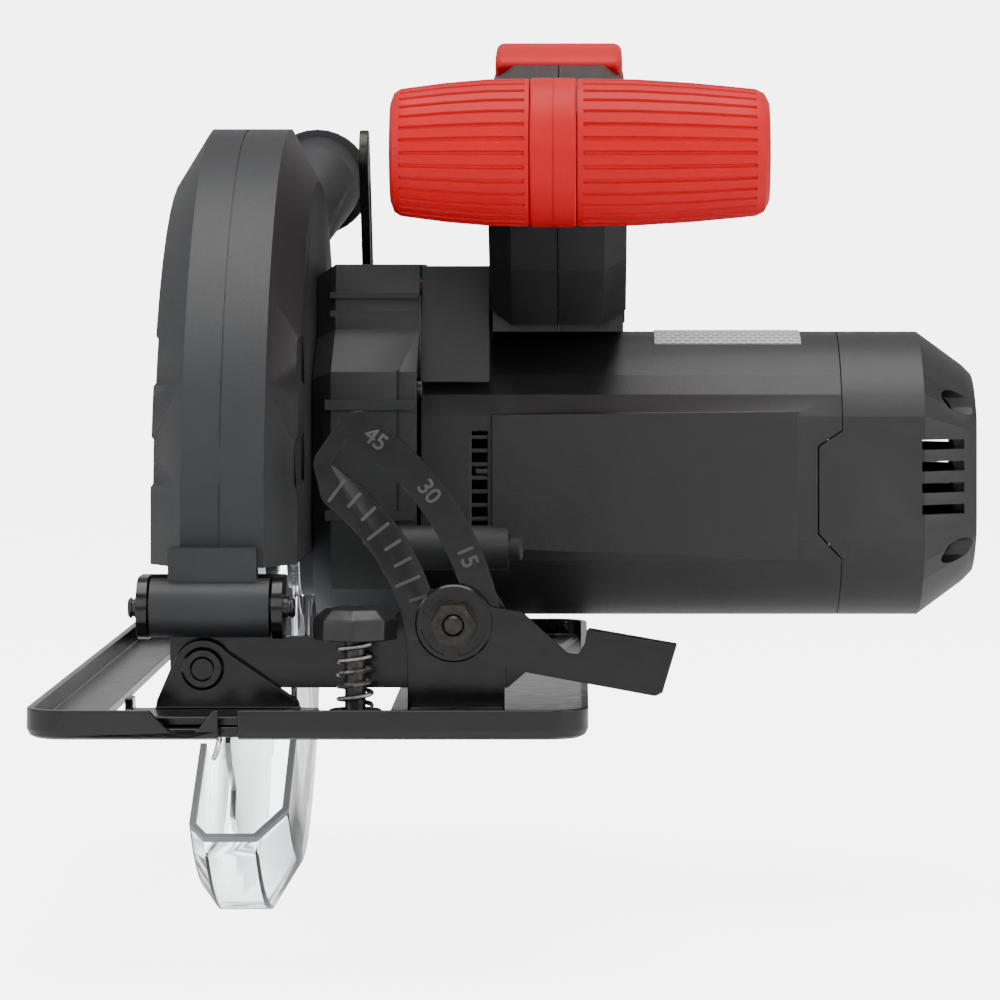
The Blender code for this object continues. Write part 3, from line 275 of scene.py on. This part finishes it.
def tint(tree, factor, low, high):
    """A colour between two hex colours, as the factor goes from 0.3 to 0.7."""
    ramp = add(tree, "ShaderNodeValToRGB", {"Fac": factor})
    ramp.color_ramp.elements[0].position = 0.3
    ramp.color_ramp.elements[1].position = 0.7
    ramp.color_ramp.elements[0].color = linear(low)
    ramp.color_ramp.elements[1].color = linear(high)
    return ramp.outputs["Color"]


def between(tree, factor, low, high):
    """A number from low to high as the factor goes from 0 to 1."""
    return add(tree, "ShaderNodeMapRange", {"Value": factor, "To Min": low, "To Max": high}).outputs["Result"]


def bump(tree, shader, height, depth, strength=1.0):
    """Height of 0 to 1 as relief that is depth millimetres deep."""
    relief = add(tree, "ShaderNodeBump", {"Height": height, "Distance": mm(depth), "Strength": strength})
    tree.links.new(relief.outputs["Normal"], shader.inputs["Normal"])


# %% [markdown]
# The big shells are glass-filled nylon, moulded in a tool whose faces were spark-eroded. That leaves
# a fine pebbled texture of about half a millimetre that scatters light, so the plastic looks soft
# grey rather than black. The pebbles are drawn at 0.8 mm, a little coarse, so that they show.

# %% Moulded nylon
def moulded_nylon(name, dark, light, rough):
    look, tree, shader = new_look(name, ior=1.53)
    pebble = grain(tree, 0.8)
    cloud = grain(tree, 30.0)
    tree.links.new(tint(tree, cloud.outputs["Fac"], dark, light), shader.inputs["Base Color"])
    gloss = between(tree, pebble.outputs["Fac"], rough - 0.08, rough + 0.1)
    tree.links.new(gloss, shader.inputs["Roughness"])
    bump(tree, shader, pebble.outputs["Fac"], 0.05)
    return look


GUARD_NYLON = moulded_nylon("pebbled_guard_nylon", "#1a1b1d", "#202123", 0.5)
MOTOR_NYLON = moulded_nylon("pebbled_motor_nylon", "#18181a", "#1e1e20", 0.46)
HANDLE_NYLON = moulded_nylon("pebbled_handle_nylon", "#0b0b0c", "#0f0f10", 0.44)
KNOB_NYLON = moulded_nylon("satin_knob_nylon", "#0f0f10", "#131314", 0.4)
print("nylon finishes made")

# %% [markdown]
# The grips are thermoplastic rubber moulded over nylon: even, saturated red, soft satin sheen.

# %% Overmoulded red rubber
def red_rubber():
    look, tree, shader = new_look("overmoulded_red_rubber", ior=1.5)
    shader.inputs["Specular IOR Level"].default_value = 0.25
    skin = grain(tree, 0.6)
    cloud = grain(tree, 40.0)
    tree.links.new(tint(tree, cloud.outputs["Fac"], "#c40010", "#d00014"), shader.inputs["Base Color"])
    tree.links.new(between(tree, skin.outputs["Fac"], 0.42, 0.56), shader.inputs["Roughness"])
    bump(tree, shader, skin.outputs["Fac"], 0.03)
    return look


RED_RUBBER = red_rubber()

# %% [markdown]
# The base, brackets and lever are pressed steel, dipped in black enamel. Baked enamel is smooth and
# mirror-like, with a slow waviness, called orange peel, a few millimetres across. On raised marks
# and figures it is rubbed paler by years of handling.

# %% Baked black enamel
def baked_enamel(name, dark, light, rough):
    look, tree, shader = new_look(name, ior=1.5)
    peel = grain(tree, 5.0, detail=1.0)
    tree.links.new(tint(tree, peel.outputs["Fac"], dark, light), shader.inputs["Base Color"])
    tree.links.new(between(tree, peel.outputs["Fac"], rough, rough + 0.1), shader.inputs["Roughness"])
    bump(tree, shader, peel.outputs["Fac"], 0.06)
    return look


ENAMEL = baked_enamel("baked_black_enamel", "#040405", "#060607", 0.16)
WORN_ENAMEL = baked_enamel("hand_worn_enamel", "#3a3b3c", "#464748", 0.34)

# %% [markdown]
# Metals keep the default IOR and differ in colour, in roughness and in the marks of their making:
# fine lines where they were drawn, turned or ground, and soft clouds where they were plated.

# %% Plated, blued, ground and turned metals
def worked_metal(name, dark, light, rough, mark, stretch, depth):
    look, tree, shader = new_look(name, metallic=1.0)
    lines = grain(tree, mark, detail=4.0, stretch=stretch)
    tree.links.new(tint(tree, lines.outputs["Fac"], dark, light), shader.inputs["Base Color"])
    gloss = between(tree, lines.outputs["Fac"], rough - 0.06, rough + 0.12)
    tree.links.new(gloss, shader.inputs["Roughness"])
    bump(tree, shader, lines.outputs["Fac"], depth)
    return look


ZINC = worked_metal("bright_zinc_plate", "#8b8983", "#b4b2ab", 0.3, 1.6, (1, 1, 1), 0.01)
DARK_ZINC = worked_metal("black_zinc_plate", "#34332f", "#4a4844", 0.34, 1.6, (1, 1, 1), 0.01)
BLUED = worked_metal("blued_steel", "#3a3a3b", "#525151", 0.32, 1.2, (1, 1, 1), 0.01)
GROUND = worked_metal("ground_blade_steel", "#a9aaab", "#c9cacb", 0.26, 1.5, (1, 1, 12), 0.01)
TURNED = worked_metal("turned_steel", "#77787a", "#97989a", 0.33, 1.0, (8, 1, 1), 0.01)
COPPER = worked_metal("varnished_copper", "#8a4a24", "#b8683a", 0.36, 1.2, (0.15, 1, 1), 0.04)
print("metal finishes made")

# %% [markdown]
# The swinging guard is clear polycarbonate. It bends light as it passes and shows bright edges. Its
# moulded wall is a little wavy and lightly scuffed by handling. Along its mouth, a pale grey strip is
# a painted highlight that stands in for the bright edge of the clear plastic.

# %% Clear polycarbonate
def clear_polycarbonate():
    look, tree, shader = new_look(
        "clear_polycarbonate", ior=1.45, transmission_weight=1.0, base_color=linear("#f1f5f6"))
    ripple = grain(tree, 14.0, detail=1.0)
    scuff = grain(tree, 2.5, detail=5.0, stretch=(1, 0.3, 1))
    tree.links.new(between(tree, scuff.outputs["Fac"], 0.0, 0.12), shader.inputs["Roughness"])
    bump(tree, shader, ripple.outputs["Fac"], 0.15)
    return look


CLEAR = clear_polycarbonate()
# Pale grey for the guard's mouth: a painted highlight for the bright edge of the clear plastic.
PAINTED_MOUTH_HIGHLIGHT = moulded_nylon("painted_mouth_highlight", "#8f9394", "#a3a7a8", 0.5)

# %% [markdown]
# Carbon brushes, switch and cord sleeve are dull and black. The rating plate is a printed silver
# film; its print is drawn as rows of short dark bars, like small type seen from afar.

# %% Matt black parts and the printed film
MATT_BLACK = moulded_nylon("matt_black_rubber", "#151516", "#1b1b1c", 0.62)


def printed_film():
    look, tree, shader = new_look("printed_silver_film", ior=1.5, metallic=0.25)
    place = add(tree, "ShaderNodeTexCoord")
    rows = add(tree, "ShaderNodeTexBrick", {
        "Vector": place.outputs["Object"], "Scale": 1000.0, "Color1": linear("#8f9194"),
        "Color2": linear("#a9abad"), "Mortar": linear("#d2d3d5"), "Brick Width": 3.1, "Row Height": 2.4,
        "Mortar Size": 0.55})
    tree.links.new(rows.outputs["Color"], shader.inputs["Base Color"])
    tree.links.new(between(tree, grain(tree, 3.0).outputs["Fac"], 0.25, 0.4), shader.inputs["Roughness"])
    return look


FILM = printed_film()
SLOT_LOOKS = {
    "black_enamel": ENAMEL, "zinc_steel": ZINC, "blued_steel": BLUED, "black_nylon": GUARD_NYLON,
    "dark_nylon": HANDLE_NYLON, "red_rubber": RED_RUBBER, "carbon": MATT_BLACK, "core_steel": TURNED,
    "copper_wire": COPPER, "blade_steel": GROUND, "clear_plastic": CLEAR, "label_film": FILM}
NODE_LOOKS = {
    "motor_housing": MOTOR_NYLON, "end_cap": MOTOR_NYLON, "fence_clamp_knob": KNOB_NYLON,
    "trigger": KNOB_NYLON, "depth_guide": DARK_ZINC, "depth_pivot_pin": BLUED, "fence_clamp_screw": BLUED,
    "fence_clamp_spring": ZINC, "spindle_bearing": ZINC, "bevel_lock_nut": DARK_ZINC,
    "bevel_lock_bolt": DARK_ZINC}
print(len(SLOT_LOOKS), "finishes for the slots")


def look_of(node):
    return NODE_LOOKS.get(node, SLOT_LOOKS[SLOT_OF[node]])


# %% [markdown]
# ## Pieces that keep their working shape
# Pressed steel and moulded plastic never have knife edges. Each of these solids is copied, its
# triangles are merged into whole faces, and a narrow bevel rounds every edge, as wide as the real
# press or mould would leave it.

# %% Round the edges of the plain pieces
EDGE_WIDTHS = {
    "base_plate": 0.5, "front_pivot_bracket": 0.5, "rear_pivot_bracket": 0.5, "front_bevel_pin": 0.25,
    "rear_bevel_pin": 0.25, "fence_screw_seat": 0.3, "front_tilt_bracket": 0.5, "rear_tilt_bracket": 0.5,
    "depth_guide": 0.35, "depth_pivot_pin": 0.2, "bevel_lock_bolt": 0.25, "bevel_lock_nut": 0.35,
    "dust_spout": 0.5, "gear_cover": 0.3, "end_cap_screw_1": 0.2, "end_cap_screw_2": 0.2,
    "end_cap_screw_3": 0.2, "end_cap_screw_4": 0.2, "cord_gland": 0.4, "depth_lock_lever": 0.8,
    "trigger": 1.2, "lock_off_button": 0.4, "spindle_lock_button": 0.4, "guard_lever": 0.6,
    "blade_bolt": 0.3, "inner_flange": 0.3, "outer_flange": 0.3, "fence_clamp_knob": 0.6,
    "fence_clamp_screw": 0.2, "blade": 0.15}


def rounded_copy(node, width):
    piece = copy_of(node, node + "_finished")
    round_edges(piece, width)
    return finish(piece, look_of(node), BODY_OF[node], [node])


for node_name, edge_width in EDGE_WIDTHS.items():
    rounded_copy(node_name, edge_width)
print("rounded", len(EDGE_WIDTHS), "pieces")

# %% [markdown]
# ## The upper guard
# The guard is one moulded shell. Shallow steps in its two shoulders stiffen it, and a fine line runs
# over its crown where the two halves of the mould met. The working solid has the right outline, so
# it is copied, and the steps and the line are cut into it before its edges are rounded: cutting
# first lets the rounding run into every step.

# %% Cut the steps and the parting line, then round the guard
GUARD_CENTRE = (-8.0, 51.7)
GUARD_CROWN_R, GUARD_FRONT_Y = 130.5, -136.0
PARTING_X = -27.5


def shoulder_cutter(side, low, high):
    """A slab over one side of the guard's front, its ends sloped, set 0.9 mm into the side."""
    edge = -49.5 if side < 0 else -5.5
    inner, outer = edge - side * 0.9, edge + side * 2.0
    outline = [(inner, low), (inner, high), (outer, high + 3.5), (outer, low - 3.5)]
    return pushed("shoulder_cutter", outline if side < 0 else outline[::-1], "Y", -142, -84)


def upper_guard():
    guard = copy_of("upper_guard", "upper_guard_shell")
    for side in (-1, 1):
        for low, high in ((72.0, 85.0), (102.0, 115.0)):
            combine(guard, shoulder_cutter(side, low, high), "DIFFERENCE")
    line = bar("parting_line", GUARD_CROWN_R + 2, PARTING_X - 0.25, PARTING_X + 0.25, "X", GUARD_CENTRE, 128)
    core = bar("parting_core", GUARD_CROWN_R - 0.5, PARTING_X - 1, PARTING_X + 1, "X", GUARD_CENTRE, 128)
    combine(line, core, "DIFFERENCE")
    combine(guard, line, "DIFFERENCE")
    front_line = block("front_line", (PARTING_X - 0.25, PARTING_X + 0.25),
                       (GUARD_FRONT_Y - 2, GUARD_FRONT_Y + 0.45), (50, 90))
    combine(guard, front_line, "DIFFERENCE")
    round_edges(guard, 1.1, segments=3, angle=24)
    return finish(guard, GUARD_NYLON, "saw_body", ["upper_guard"])


upper_guard()
print("upper guard shaped")

# %% [markdown]
# ## The swinging guard
# The working guard's mouth is trimmed along a slope of one in two. A strip under that slope cuts the
# guard in two: all but its mouth is clear, and the last 2.4 mm at the mouth are a pale painted highlight.
# Both pieces swing together.

# %% Clear shell and the painted highlight along its mouth
def mouth_strip():
    """A long strip under the mouth's sloping edge, 2.4 mm deep, pushed right across the guard."""
    start, end, across = Vector((-150.0, -67.0)), Vector((-36.0, -10.0)), Vector((1.0, -2.0)).normalized()
    corners = [start - across * 0.5, start + across * 2.4, end + across * 2.4, end - across * 0.5]
    return pushed("mouth_strip", [tuple(corner) for corner in corners], "X", -60, 10)


def swinging_guard(name, operation, look, replaced=()):
    piece = copy_of("lower_guard", name)
    combine(piece, mouth_strip(), operation)
    smooth(piece)
    return finish(piece, look, "swing_guard", replaced)


swinging_guard("lower_guard_shell", "DIFFERENCE", CLEAR, ["lower_guard"])
# The mouth strip is pale grey, a painted highlight for the guard's bright edge.
swinging_guard("lower_guard_mouth", "INTERSECT", PAINTED_MOUTH_HIGHLIGHT)
print("swinging guard made")

# %% [markdown]
# ## The gear housing
# The gear housing is a deep cup beside the guard. Two ribs run across its sloping top and two ledges
# across its front, each a block joined on before the edges are rounded. Four round-headed screws
# hold the motor to it; each head is a bar with a cross cut into its end.

# %% Gear housing, ribs and flange screws
def machine_screw(name, radius, base, top, axis, centre, body, look=None):
    """A low round head with a cross recess; it faces the direction from base to top."""
    low, high = sorted((base, top))
    head = bar(name, radius, low, high, axis, centre, 32)
    depth = 0.55 * (high - low)
    for span in ((0.62, 0.14), (0.14, 0.62)):
        a = (centre[0] - radius * span[0], centre[0] + radius * span[0])
        b = (centre[1] - radius * span[1], centre[1] + radius * span[1])
        along = (top - depth, top + 1) if top > base else (top - 1, top + depth)
        sizes = {"X": (along, a, b), "Y": (a, along, b), "Z": (a, b, along)}[axis]
        combine(head, block("cross_cutter", *sizes), "DIFFERENCE")
    round_edges(head, 0.35)
    return finish(head, look or DARK_ZINC, body)


def gear_housing():
    housing = copy_of("gear_housing", "gear_housing_cup")
    for low in (121.0, 127.0):
        rib = block("housing_rib", (-1.0, 27.5), (-25.2, -20.0), (low, low + 2.0))
        combine(housing, rib, "UNION")
    for z in (57.0, 92.0):
        combine(housing, block("housing_ledge", (-1.0, 27.5), (-53.4, -48.5), (z, z + 3.2)), "UNION")
    groove = block("flange_groove", (21.6, 22.4), (-53.2, -50.9), (30, 106))
    combine(housing, groove, "DIFFERENCE")
    round_edges(housing, 0.9, segments=3, angle=30)
    return finish(housing, GUARD_NYLON, "saw_body", ["gear_housing"])


gear_housing()
for index, (y, z) in enumerate(((-46, 98), (-46, 50), (-16, 131), (38, 131))):
    machine_screw("flange_screw_%d" % (index + 1), 3.2, 27.5, 29.6, "X", (y, z), "saw_body")
print("gear housing and its screws made")

# %% [markdown]
# ## The motor housing and the end cap
# The motor's tube and its end cap meet in a seam that steps forward in a tongue at the front, so
# that the two cannot turn on each other. The tongue is cut out of the tube with a little room round
# it and joined to the cap, flush with the tube's flat. Louvres stand in the air slot.

# %% Seam, louvres and end cap
MOTOR_Y, MOTOR_Z = 21.04, 68.9
MOTOR_FRONT_Y = MOTOR_Y - 41.5
CAP_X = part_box("end_cap")[0][0] * 1000 + DATUM_X


def tongue(name, grow, y):
    """The seam's tongue: a block with its two free corners cut off, grown all round."""
    tip, root, back = CAP_X - 7.6 - grow, CAP_X - 0.2, CAP_X + 1.5
    outline = [(back, 84.0 + grow), (root, 84.0 + grow), (tip, 79.0 + grow * 0.6),
               (tip, 51.0 - grow * 0.6), (root, 43.0 - grow), (back, 43.0 - grow)]
    return pushed(name, outline, "Y", *y)


def motor_housing():
    tube = copy_of("motor_housing", "motor_housing_tube")
    combine(tube, tongue("tongue_room", 0.45, (MOTOR_FRONT_Y - 3, MOTOR_FRONT_Y + 8)), "DIFFERENCE")
    round_edges(tube, 0.7, segments=3, angle=24)
    return finish(tube, MOTOR_NYLON, "saw_body", ["motor_housing"])


def end_cap():
    cap = copy_of("end_cap", "end_cap_shell")
    combine(cap, tongue("cap_tongue", 0.0, (MOTOR_FRONT_Y, MOTOR_FRONT_Y + 3.0)), "UNION")
    round_edges(cap, 0.9, segments=3, angle=24)
    return finish(cap, MOTOR_NYLON, "saw_body", ["end_cap"])


def louvre(index):
    z = 55.0 + 4.4 * index
    depth = (MOTOR_FRONT_Y + 0.6, MOTOR_FRONT_Y + 2.6)
    slat = block("air_slot_louvre_%d" % (index + 1), (44.0, 50.0), depth, (z, z + 1.5))
    round_edges(slat, 0.35)
    return finish(slat, MOTOR_NYLON, "saw_body")


motor_housing()
end_cap()
for louvre_index in range(7):
    louvre(louvre_index)
print("motor housing, end cap and louvres made")

# %% [markdown]
# ## The rating plate
# The printed film follows the round of the motor tube. It is a strip swept round the motor's axis,
# a third of a millimetre proud of the plastic.

# %% Rating label
def rating_label():
    outer = arc((MOTOR_Y, MOTOR_Z), 47.35, 86, 114, 14)
    inner = arc((MOTOR_Y, MOTOR_Z), 46.9, 114, 86, 14)
    label = pushed("rating_label", outer + inner, "X", 104.0, 152.0)
    smooth(label)
    return finish(label, FILM, "saw_body", ["label_plate"])


rating_label()
print("label made")

# %% [markdown]
# ## The front grip
# The barrel grip is rubber moulded round a nylon core. Long flutes run from its smooth middle band
# to its rounded ends and give the hand its hold. A circle is extruded along the grip and resized at
# each station, so that the flutes can then be pressed into whole strips of its faces.

# %% Fluted grips and middle band
GRIP_Y, GRIP_Z = -78.0, 172.5
GRIP_CORNERS = 96
GRIP_STATIONS = ((0.0, 22.7), (0.03, 22.9), (0.3, 22.7), (0.6, 21.6), (0.85, 20.2), (0.93, 19.7),
                 (0.975, 18.4), (1.0, 15.5))


def stretched_round(name, start, stations, length):
    """A round bar along X whose radius changes from station to station."""
    first = stations[0][1]
    bpy.ops.mesh.primitive_circle_add(vertices=GRIP_CORNERS, radius=mm(first), fill_type="NGON",
                                      location=spot(start, GRIP_Y, GRIP_Z), rotation=TURN_TO["X"])
    made = bpy.context.object
    made.name = name
    settle(made)
    edit_faces(made)
    for (before, r_before), (part, r) in zip(stations, stations[1:]):
        step = AXES["X"] * mm((part - before) * length)
        bpy.ops.mesh.extrude_region_move(TRANSFORM_OT_translate={"value": step})
        centre = spot(start + part * length, GRIP_Y, GRIP_Z)
        bpy.ops.transform.resize(value=(1, r / r_before, r / r_before), center_override=centre)
    bpy.ops.mesh.select_all(action="SELECT")
    bpy.ops.mesh.normals_make_consistent(inside=False)
    leave_edit()
    return made


def in_flute(middle, normal, low, high):
    """Every third strip of faces round the grip, between two places along it."""
    turn = math.atan2(middle.z - GRIP_Z, middle.y - GRIP_Y) / math.tau * GRIP_CORNERS
    return int(turn % GRIP_CORNERS) % 3 == 0 and low < middle.x < high and abs(normal.x) < 0.5


def fluted_grip(node, start, stop):
    grip = stretched_round(node.replace("front", "fluted"), start, GRIP_STATIONS, stop - start)
    low, high = sorted((start + 0.05 * (stop - start), start + 0.9 * (stop - start)))
    edit_faces(grip, lambda middle, normal: in_flute(middle, normal, low, high))
    bpy.ops.mesh.inset(thickness=mm(0.4), depth=mm(-0.7), use_individual=False)
    leave_edit()
    smooth(grip, 30)
    return finish(grip, RED_RUBBER, "saw_body", [node])


def grip_band():
    stations = ((0.0, 22.6), (0.04, 23.1), (0.96, 23.1), (1.0, 22.6))
    band = stretched_round("grip_band", 64.1, stations, 14.3)
    seam = bar("band_seam", 24.5, 71.1, 71.4, "X", (GRIP_Y, GRIP_Z), GRIP_CORNERS)
    combine(seam, bar("seam_core", 22.8, 70, 73, "X", (GRIP_Y, GRIP_Z), GRIP_CORNERS), "DIFFERENCE")
    combine(band, seam, "DIFFERENCE")
    smooth(band, 30)
    return finish(band, RED_RUBBER, "saw_body", ["grip_sleeve"])


fluted_grip("front_grip_left", 63.8, 20.9)
fluted_grip("front_grip_right", 78.7, 138.0)
grip_band()
print("front grip made")

# %% [markdown]
# ## The rear handle
# The handle is a pair of nylon clamshells with a soft pad over the top. Both shells keep their
# working outline, with generous rounding where a hand goes, and each gains a foot that reaches down
# to the motor. The pad wraps the top as a low dome.

# %% Clamshells and top pad
def handle_shell(node):
    shell = copy_of(node, node + "_shell")
    across = (51.6, 72.2) if node == "handle_left" else (72.8, 93.4)
    combine(shell, block("handle_foot", across, (-30.0, 38.0), (116.4, 124.0)), "UNION")
    round_edges(shell, 2.6, segments=4, angle=28)
    return finish(shell, HANDLE_NYLON, "saw_body", [node])


def top_pad():
    """A long low dome: its side outline pushed across the handle, its upper edges well rounded."""
    top = [(16.0, 204.0), (19.0, 206.6), (26.0, 209.8), (44.0, 212.8), (60.0, 213.6), (78.0, 212.2),
           (90.0, 208.9), (95.0, 206.0), (97.0, 202.6)]
    under = [(88.0, 198.0), (60.0, 200.0), (24.0, 198.0)]
    pad = pushed("handle_top_dome", top + under, "X", 51.3, 93.6)
    round_edges(pad, 7.0, segments=6, angle=50)
    return finish(pad, RED_RUBBER, "saw_body", ["handle_top_pad"])


handle_shell("handle_left")
handle_shell("handle_right")
top_pad()
for index, (y, z) in enumerate(((-44, 150), (10, 190), (140, 140), (20, 122))):
    machine_screw("handle_screw_%d" % (index + 1), 3.4, 92.5, 94.4, "X", (y, z), "saw_body")
print("handle made")

# %% [markdown]
# ## The tilt scale
# The sector is stamped from plate, with a mark every five degrees and raised figures. The marks are
# narrow bars that point at the tilt axis; the figures are text made into a mesh. Both stand less
# than the 0.3 mm gap proud, so that the tilt lever passes over them.

# %% Sector, marks and figures
TILT_X, TILT_Z, SCALE_Y = -32.5, 17.8, -134.0


def on_scale(radius, degrees):
    turn = math.radians(degrees)
    return TILT_X + radius * math.cos(turn), TILT_Z + radius * math.sin(turn)


def scale_mark(index):
    """One mark on the sector's inner edge, longer every third time."""
    degrees = 8.0 + 5.0 * index
    inner, outer = (62.0, 70.2) if index % 3 == 0 else (64.4, 70.2)
    half = 0.5
    across = (-math.sin(math.radians(degrees)) * half, math.cos(math.radians(degrees)) * half)
    a, b = on_scale(inner, degrees), on_scale(outer, degrees)
    outline = [(a[0] - across[0], a[1] - across[1]), (b[0] - across[0], b[1] - across[1]),
               (b[0] + across[0], b[1] + across[1]), (a[0] + across[0], a[1] + across[1])]
    mark = pushed("tilt_scale_mark_%d" % (index + 1), outline, "Y", SCALE_Y - 0.22, SCALE_Y + 0.5)
    round_edges(mark, 0.12)
    return finish(mark, WORN_ENAMEL, "base")


def scale_figure(text, degrees):
    """Raised figures that read from the front, turned to follow the sector."""
    x, z = on_scale(85.2, degrees)
    turn = (math.pi / 2, math.radians(90 - degrees), 0)
    bpy.ops.object.text_add(location=spot(x, SCALE_Y + 0.3, z), rotation=turn)
    figure = bpy.context.object
    figure.name = "tilt_figure_" + text
    figure.data.body = text
    figure.data.size = mm(7.0)
    figure.data.align_x = "CENTER"
    figure.data.align_y = "CENTER"
    figure.data.extrude = mm(0.4)
    figure.data.bevel_depth = mm(0.12)
    only(figure)
    bpy.ops.object.convert(target="MESH")
    settle(figure)
    return finish(figure, WORN_ENAMEL, "base")


def tilt_sector():
    sector = copy_of("bevel_quadrant", "tilt_sector")
    round_edges(sector, 0.5, segments=3)
    return finish(sector, ENAMEL, "base", ["bevel_quadrant"])


tilt_sector()
for mark_index in range(10):
    scale_mark(mark_index)
for figure_text, figure_place in (("45", 53.0), ("30", 38.0), ("15", 23.0)):
    scale_figure(figure_text, figure_place)
print("tilt scale made")

# %% [markdown]
# ## The tilt lever
# The lever is pressed plate, and its nut sits in the middle of its round hub. Three curved windows
# are sunk into the hub's face round the nut. Each window is an outline between two arcs.

# %% Lever with its windows
BOLT_X, BOLT_Z = on_scale(75.9, 10.4)


def tilt_lever():
    lever = copy_of("bevel_lock_lever", "tilt_lever")
    for start in (100, 190, 280):
        stop = start + 62
        window = arc((BOLT_X, BOLT_Z), 9.8, start, stop, 10) + arc((BOLT_X, BOLT_Z), 7.9, stop, start, 10)
        combine(lever, pushed("hub_window", window, "Y", -139.0, -137.2), "DIFFERENCE")
    round_edges(lever, 0.7, segments=3, angle=28)
    return finish(lever, ENAMEL, "bevel_lever", ["bevel_lock_lever"])


tilt_lever()
print("tilt lever made")

# %% [markdown]
# ## Pieces inside the casings
# The motor's core, its bearings and gears and the springs are seen only through slots, so they keep
# their working solids and just take a finish.

# %% The rest of the solids take their finish as they are
for node_name, node_object in frame["nodes"].items():
    node_object.data.materials.clear()
    node_object.data.materials.append(look_of(node_name))
print("finished every carried-over solid")

# %% [markdown]
# ## Stage
# A pale bowl with a softly curved rim stands for the sweep of paper in a studio: no horizon shows
# from any side. Four large soft lights hang round the saw, the strongest one above it. The paper
# glows only when it is looked at, directly or through clear plastic, so that it reads as white while
# the lights alone shape the saw.

# %% Floor, lights and camera
FLOOR_Z = cad_box[0][2] * 1000 - 0.5
PAPER_GLOW = 5.0


def paper_sweep():
    bpy.ops.mesh.primitive_circle_add(vertices=96, radius=3.2, fill_type="NGON", location=(0, 0, mm(FLOOR_Z)))
    sweep = bpy.context.object
    sweep.name = "paper_sweep"
    settle(sweep)
    edit_faces(sweep)
    for step in range(1, 7):
        turn = step * math.pi / 12
        size = (3.2 + 0.8 * math.sin(turn)) / (3.2 + 0.8 * math.sin(turn - math.pi / 12))
        rise = 0.8 * (math.cos(turn - math.pi / 12) - math.cos(turn))
        bpy.ops.mesh.extrude_region_move(TRANSFORM_OT_translate={"value": (0, 0, 0)})
        bpy.ops.transform.resize(value=(size, size, 1), center_override=(0, 0, mm(FLOOR_Z)))
        bpy.ops.transform.translate(value=(0, 0, rise))
    bpy.ops.mesh.extrude_region_move(TRANSFORM_OT_translate={"value": (0, 0, 2.5)})
    bpy.ops.mesh.delete(type="ONLY_FACE")
    bpy.ops.mesh.select_all(action="SELECT")
    bpy.ops.mesh.normals_make_consistent(inside=True)
    leave_edit()
    smooth(sweep, 60)
    paper, tree, shader = new_look("white_paper", roughness=0.9, emission_color=(1, 1, 1, 1))
    rays = add(tree, "ShaderNodeLightPath")
    seen = add(tree, "ShaderNodeMath")
    seen.operation = "MAXIMUM"
    tree.links.new(rays.outputs["Is Camera Ray"], seen.inputs[0])
    tree.links.new(rays.outputs["Is Transmission Ray"], seen.inputs[1])
    tree.links.new(between(tree, seen.outputs["Value"], 0.0, PAPER_GLOW), shader.inputs["Emission Strength"])
    fibre = grain(tree, 2.0)
    tree.links.new(tint(tree, fibre.outputs["Fac"], "#f3f3f3", "#f6f6f6"), shader.inputs["Base Color"])
    sweep.data.materials.append(paper)


def soft_light(name, place, size, power):
    """A square area light aimed at the middle of the saw."""
    bpy.ops.object.light_add(type="AREA", location=place)
    light = bpy.context.object
    light.name = name
    light.data.size = size
    light.data.energy = power
    aim = spot(60, 0, 80) - Vector(place)
    light.rotation_euler = aim.to_track_quat("-Z", "Y").to_euler()


paper_sweep()
soft_light("overhead_softbox", (0.05, -0.2, 1.7), 1.6, 34.0)
soft_light("left_softbox", (-1.55, -0.7, 0.7), 1.1, 12.0)
soft_light("right_softbox", (1.55, -0.9, 0.6), 1.1, 12.0)
soft_light("front_softbox", (0.05, -2.2, 1.0), 1.2, 9.0)
world = bpy.data.worlds.new("studio_air")
world.use_nodes = True
world.node_tree.nodes["Background"].inputs["Color"].default_value = (1.0, 1.0, 1.0, 1.0)
world.node_tree.nodes["Background"].inputs["Strength"].default_value = 0.4
bpy.context.scene.world = world

# %% [markdown]
# The saw is seen from straight ahead of its front edge, from a little above the motor and a long way
# off, as a long lens shows it. The shift frames it without tilting the camera.

# %% Camera
bpy.ops.object.camera_add(location=spot(79.5, -1422.5, 135.5), rotation=(math.pi / 2, 0, 0))
camera = bpy.context.object
camera.data.sensor_width = 36.0
camera.data.lens = 156.3
camera.data.shift_x = -0.08
camera.data.shift_y = -0.228
camera.data.clip_start = 0.05
bpy.context.scene.camera = camera
print("camera at", [round(v, 3) for v in camera.location])
